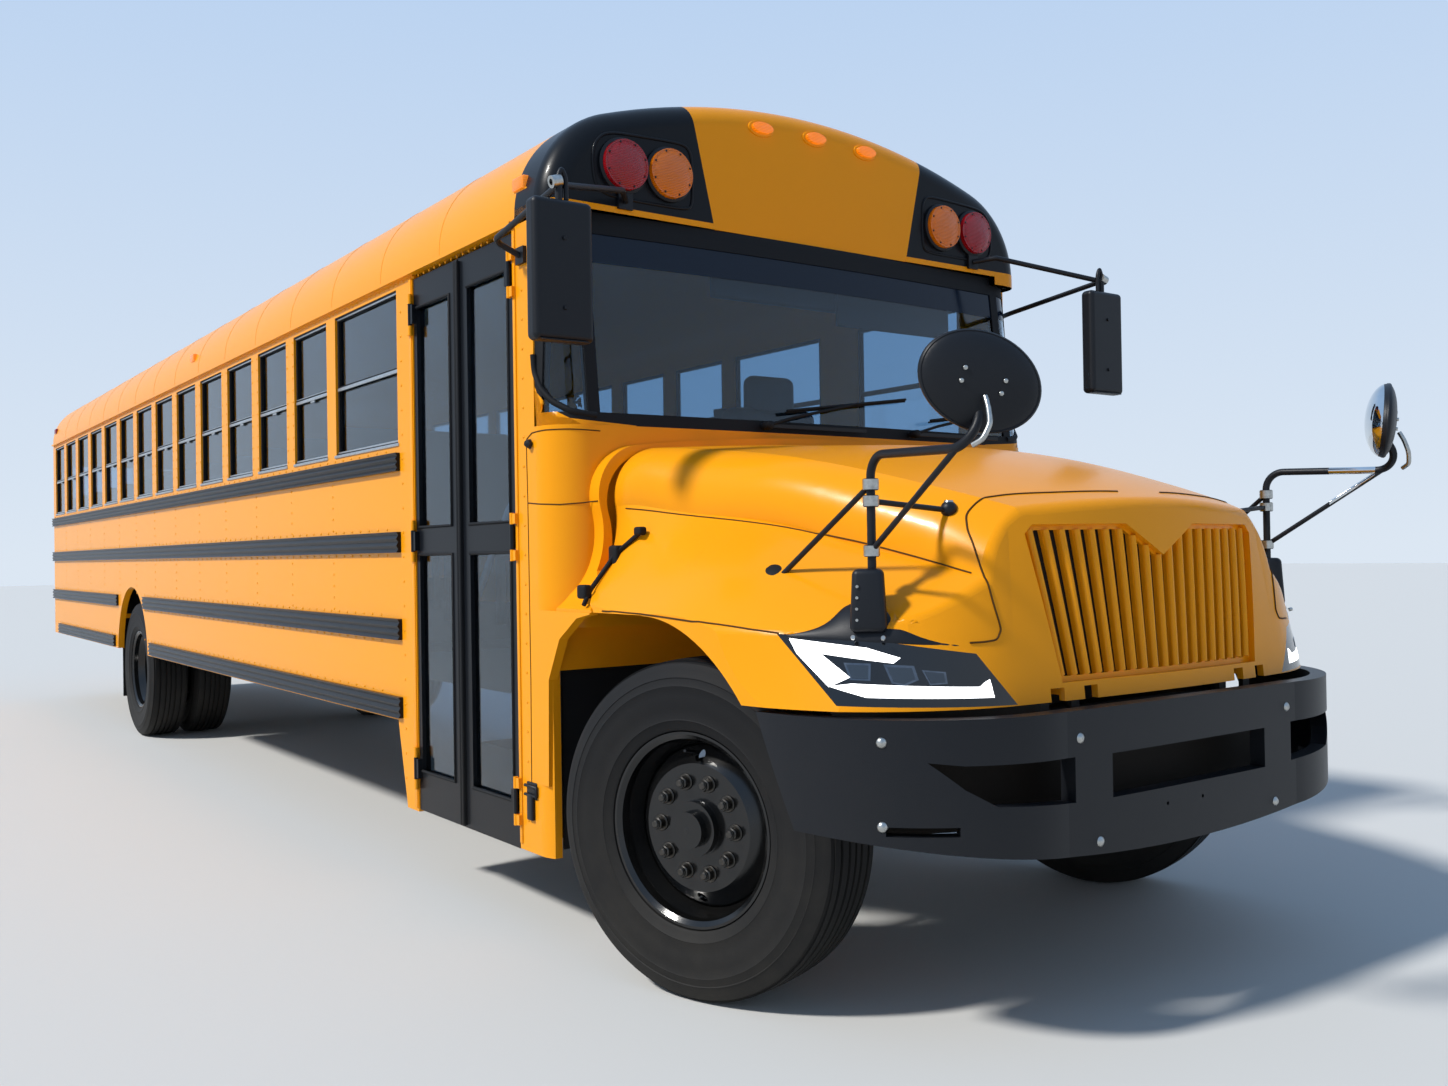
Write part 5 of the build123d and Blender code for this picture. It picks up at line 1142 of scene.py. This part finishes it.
class BUS_OT_doors(bpy.types.Operator):
    """Rubber edges and glazing beads of the entrance door, its post trim, grab rail and step latch"""
    bl_idname = "bus.doors"
    bl_label = "Entrance door"

    def execute(self, context):
        out = -HALF_WIDTH - 0.002
        pane = out + 0.006
        for body, x0, x1, edge in (("door_rear", 3.272, 3.602, 3.678), ("door_front", 3.765, 4.117, 3.697)):
            parts = [beading((x0, pane, z0), (x1, pane, z1), 0.007) for z0, z1 in ((0.470, 1.374), (1.487, 2.406))]
            parts.append(bar((edge - 0.009, out - 0.010, 0.315), (edge + 0.009, out + 0.020, 2.52), 0.006, 3))
            settle(parts, body + "_seals", "rubber", body, 50.0)
        post = [bar((x0, -1.224, low), (x1, -1.214, 2.54), 0.003)
                for x0, x1, low in ((3.205, 3.231, 0.31), (4.170, 4.190, 0.33))]
        settle(post, "door_post_trim", "yellow")
        rail = [(3.30, -1.06, 0.95), (3.30, -1.02, 1.05), (3.30, -0.80, 1.62), (3.30, -0.70, 1.66)]
        settle(wire(rail, 0.016, smooth=6), "entrance_grab_rail", "steel", smooth=50.0)
        latch = [beading((4.222, -1.2265, 0.546), (4.308, -1.2265, 0.514), 0.006),
                 bar((4.245, -1.234, 0.426), (4.285, -1.218, 0.52), 0.006, 3),
                 bar((4.228, -1.224, 0.50), (4.302, -1.217, 0.56), 0.004)]
        settle(latch, "step_latch", "abs", smooth=50.0)
        return {"FINISHED"}


class BUS_OT_bumper(bpy.types.Operator):
    """Bumper bolts, and a dark sheet behind the bumper's openings that is painted shade"""
    bl_idname = "bus.bumper"
    bl_label = "Bumper fittings"

    def execute(self, context):
        bolts = []
        for x, y, z, way in ((5.868, -1.032, 0.861, (0.75, -0.66, 0)), (5.867, -1.032, 0.642, (0.75, -0.66, 0)),
                             (6.059, -0.504, 0.844, (0.98, -0.15, 0)), (6.025, -0.426, 0.554, (1, -0.1, 0))):
            way = Vector(way).normalized()
            spot = Vector((x, y, z)) - way * 0.004
            hit, place = NODES["front_bumper"].ray_cast(spot + way * 0.3, -way)[:2]
            if hit:
                spot = place
            bolts.append(ring_at([(0.0003, 0.008), (0.007, 0.007), (0.012, 0.003), (0.015, 0.0), (0.015, -0.003),
                                  (0.0003, -0.003)], spot, way, 20))
        settle(both(bolts), "bumper_bolts", "steel", smooth=60.0)
        # Dark sheet behind the openings: painted shade seen through them
        right = [(5.60, -1.08), (5.74, -1.03), (5.84, -0.94), (5.90, -0.80), (5.93, -0.60), (5.945, -0.30)]
        plan = right + [(5.95, 0.0)] + [(x, -y) for x, y in reversed(right)]
        bumper_shade_sheet = skin([[(x, y, z) for x, y in plan] for z in (0.60, 0.875)])
        settle(modified(bumper_shade_sheet, "SOLIDIFY", thickness=0.004, offset=0.0), "bumper_painted_shade", "gap")
        return {"FINISHED"}


class BUS_OT_stop_sign(bpy.types.Operator):
    """White border and blank lamps of the folding stop sign"""
    bl_idname = "bus.stop_sign"
    bl_label = "Stop sign"

    def execute(self, context):
        hinge_x, arm = 3.9 - PACK_SHIFT, 0.26
        centre = Vector((hinge_x - arm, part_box("stop_arm")[1].y, 1.6))
        outer, inner = (around(8, radius, 22.5) for radius in (0.226, 0.208))
        parts = []
        for i in range(8):
            after = (i + 1) % 8
            quad = [centre + Vector((x, -0.0005, z)) for x, z in (outer[i], outer[after], inner[after], inner[i])]
            parts.append(slab(quad, (0, 0.0022, 0)))
        settle(parts, "stop_sign_border", "white", "stop_arm", 30.0)
        domes = [ring_at([(0.0003, 0.016), (0.020, 0.012), (0.030, 0.004), (0.031, -0.002), (0.0003, -0.002)],
                         centre + Vector((0, 0, dz)), (0, 1, 0), 24) for dz in (-0.155, 0.155)]
        settle(domes, "stop_sign_lamps", "red", "stop_arm", 50.0)
        return {"FINISHED"}


class BUS_OT_rear(bpy.types.Operator):
    """Rear glass seals, exit door handle, blank plate back and panel joints"""
    bl_idname = "bus.rear"
    bl_label = "Rear end"

    def execute(self, context):
        x = REAR_FACE_X
        seals = [beading((x - 0.001, -0.24, z0), (x - 0.001, 0.24, z1), 0.008)
                 for z0, z1 in ((1.856, 2.26), (1.18, 1.56))]
        settle(seals, "exit_door_glass_seals", "rubber", "exit_door", 50.0)
        grip = [(x - dx, 0.27, z) for dx, z in ((0.004, 1.65), (0.045, 1.66), (0.045, 1.76), (0.004, 1.77))]
        handle = [bar((x - 0.006, 0.235, 1.62), (x + 0.001, 0.305, 1.80), 0.003), wire(grip, 0.009, smooth=3)]
        settle(handle, "exit_door_handle", "steel", "exit_door", 50.0)
        seals = [beading((x - 0.001, side * 0.47, 1.856), (x - 0.001, side * 1.04, 2.36), 0.008) for side in (-1, 1)]
        settle(seals, "rear_glass_seals", "rubber", smooth=50.0)
        settle(bar((x - 0.006, 0.43, 1.02), (x + 0.001, 0.75, 1.19), 0.003), "blank_plate_back", "abs")
        joints = [bar((x - 0.003, side * 0.345, z - 0.018), (x + 0.001, side * 1.215, z + 0.018), 0.001)
                  for z in (0.975, 1.70) for side in (-1, 1)]
        settle(joints, "rear_panel_joints", "yellow")
        return {"FINISHED"}


class BUS_OT_cabin(bpy.types.Operator):
    """Driver's seat pads, inside mirror and visor, and the seams on the bench tops"""
    bl_idname = "bus.cabin"
    bl_label = "Cabin"

    def execute(self, context):
        pads = [bar((3.335, 0.28, 1.45), (3.475, 0.80, 2.06), 0.05, 4),
                bar((3.36, 0.40, 2.02), (3.46, 0.68, 2.22), 0.045, 4)]
        settle(pads, "driver_seat_pads", "vinyl", smooth=60.0)
        mirror = bar((4.26, -0.42, 2.36), (4.30, 0.42, 2.50), 0.015, 3)
        visor = bar((4.30, 0.20, 2.30), (4.315, 0.86, 2.46), 0.006, 2)
        settle([mirror, visor], "cabin_mirror_and_visor", "abs", smooth=50.0)
        first_x, pitch, count = -5.808, 0.66, 13
        tops = [bar((x - 0.055, -1.139, 1.985), (x + 0.045, -0.24, 2.012), 0.012, 3)
                for x in (first_x + pitch * i for i in range(count))]
        settle(both(tops), "bench_top_seams", "vinyl", smooth=60.0)
        return {"FINISHED"}


# Stage


class BUS_OT_stage(bpy.types.Operator):
    """Camera of the photograph, floor and studio light"""
    bl_idname = "bus.stage"
    bl_label = "Stage"

    def execute(self, context):
        scene = context.scene
        camera = bpy.data.cameras.new("camera")
        camera.sensor_width = SENSOR
        camera.lens = LENS
        camera.clip_end = 400
        eye = bpy.data.objects.new("camera", camera)
        scene.collection.objects.link(eye)
        side, top, ahead = view_axes()
        eye.matrix_world = Matrix.Translation(EYE) @ Matrix((side, top, -ahead)).transposed().to_4x4()
        scene.camera = eye
        scene.view_settings.view_transform = "Standard"
        make_floor()
        make_lights(scene)
        return {"FINISHED"}


def make_floor():
    begin()
    bpy.ops.mesh.primitive_plane_add(size=160, location=(0, 0, 0))
    floor = bpy.context.object
    floor.name = "studio_floor"
    floor.data.materials.append(new_material("pale_floor", Roughness=0.8, Base_Color=hex_linear("D3D3D1"))[0])


def make_lights(scene):
    """A sky that lights the bus softly, a paler one that is seen and reflected, and a wide key light."""
    world = bpy.data.worlds.new("studio")
    scene.world = world
    world.use_nodes = True
    tree = world.node_tree
    tree.nodes.clear()
    place = add_node(tree, "ShaderNodeTexCoord").outputs["Generated"]
    z = add_node(tree, "ShaderNodeSeparateXYZ", links={"Vector": place}).outputs["Z"]
    light, seen = (
        add_node(tree, "ShaderNodeBackground", {"Strength": strength},
                 {"Color": ramp(tree, z, 0.0, high, hex_linear(low_code), hex_linear(high_code))}
                 ).outputs["Background"]
        for strength, high, low_code, high_code in ((0.62, 0.7, "DDE6EE", "8DB2DC"), (1.0, 0.6, "DCE7F3", "A8C8EF")))
    rays = add_node(tree, "ShaderNodeLightPath").outputs
    share = rays["Is Camera Ray"]
    for kind in ("Is Transmission Ray", "Is Glossy Ray"):
        share = add_node(tree, "ShaderNodeMath", {"operation": "MAXIMUM"}, {0: share, 1: rays[kind]}).outputs[0]
    sky = add_node(tree, "ShaderNodeMixShader", links={"Fac": share, 1: light, 2: seen})
    add_node(tree, "ShaderNodeOutputWorld", links={"Surface": sky.outputs["Shader"]})
    lamp = bpy.data.lights.new("key", "SUN")
    lamp.energy = 3.6
    lamp.angle = math.radians(6)
    lamp.color = (1.0, 0.97, 0.92)
    key = bpy.data.objects.new("key", lamp)
    scene.collection.objects.link(key)
    key.rotation_euler = Vector((0.12, 0.72, -0.72)).to_track_quat("-Z", "Y").to_euler()


# In the order in which main calls them
PIECES = [BUS_OT_materials, BUS_OT_tyres, BUS_OT_hubs, BUS_OT_headlamps, BUS_OT_warning_lamps, BUS_OT_markers,
          BUS_OT_nose, BUS_OT_aprons, BUS_OT_grille, BUS_OT_mirrors, BUS_OT_glazing, BUS_OT_rivets, BUS_OT_roof_bows,
          BUS_OT_doors, BUS_OT_bumper, BUS_OT_stop_sign, BUS_OT_rear, BUS_OT_cabin, BUS_OT_stage]


class BUS_PT_panel(bpy.types.Panel):
    bl_idname = "BUS_PT_panel"
    bl_label = "School bus"
    bl_space_type = "VIEW_3D"
    bl_region_type = "UI"
    bl_category = "School bus"

    def draw(self, context):
        for group in (context.scene.bus_finish, context.scene.bus_trim):
            for key in group.__annotations__:
                self.layout.prop(group, key)
        for piece in PIECES:
            self.layout.operator(piece.bl_idname)


CLASSES = [BusFinish, BusTrim] + PIECES + [BUS_PT_panel]


def register():
    for cls in CLASSES:
        bpy.utils.register_class(cls)
    bpy.types.Scene.bus_finish = bpy.props.PointerProperty(type=BusFinish)
    bpy.types.Scene.bus_trim = bpy.props.PointerProperty(type=BusTrim)


def unregister():
    del bpy.types.Scene.bus_finish
    del bpy.types.Scene.bus_trim
    for cls in reversed(CLASSES):
        bpy.utils.unregister_class(cls)


def main():
    register()
    for piece in PIECES:
        getattr(bpy.ops.bus, piece.__name__.removeprefix("BUS_OT_"))()


if __name__ == "__main__":
    main()
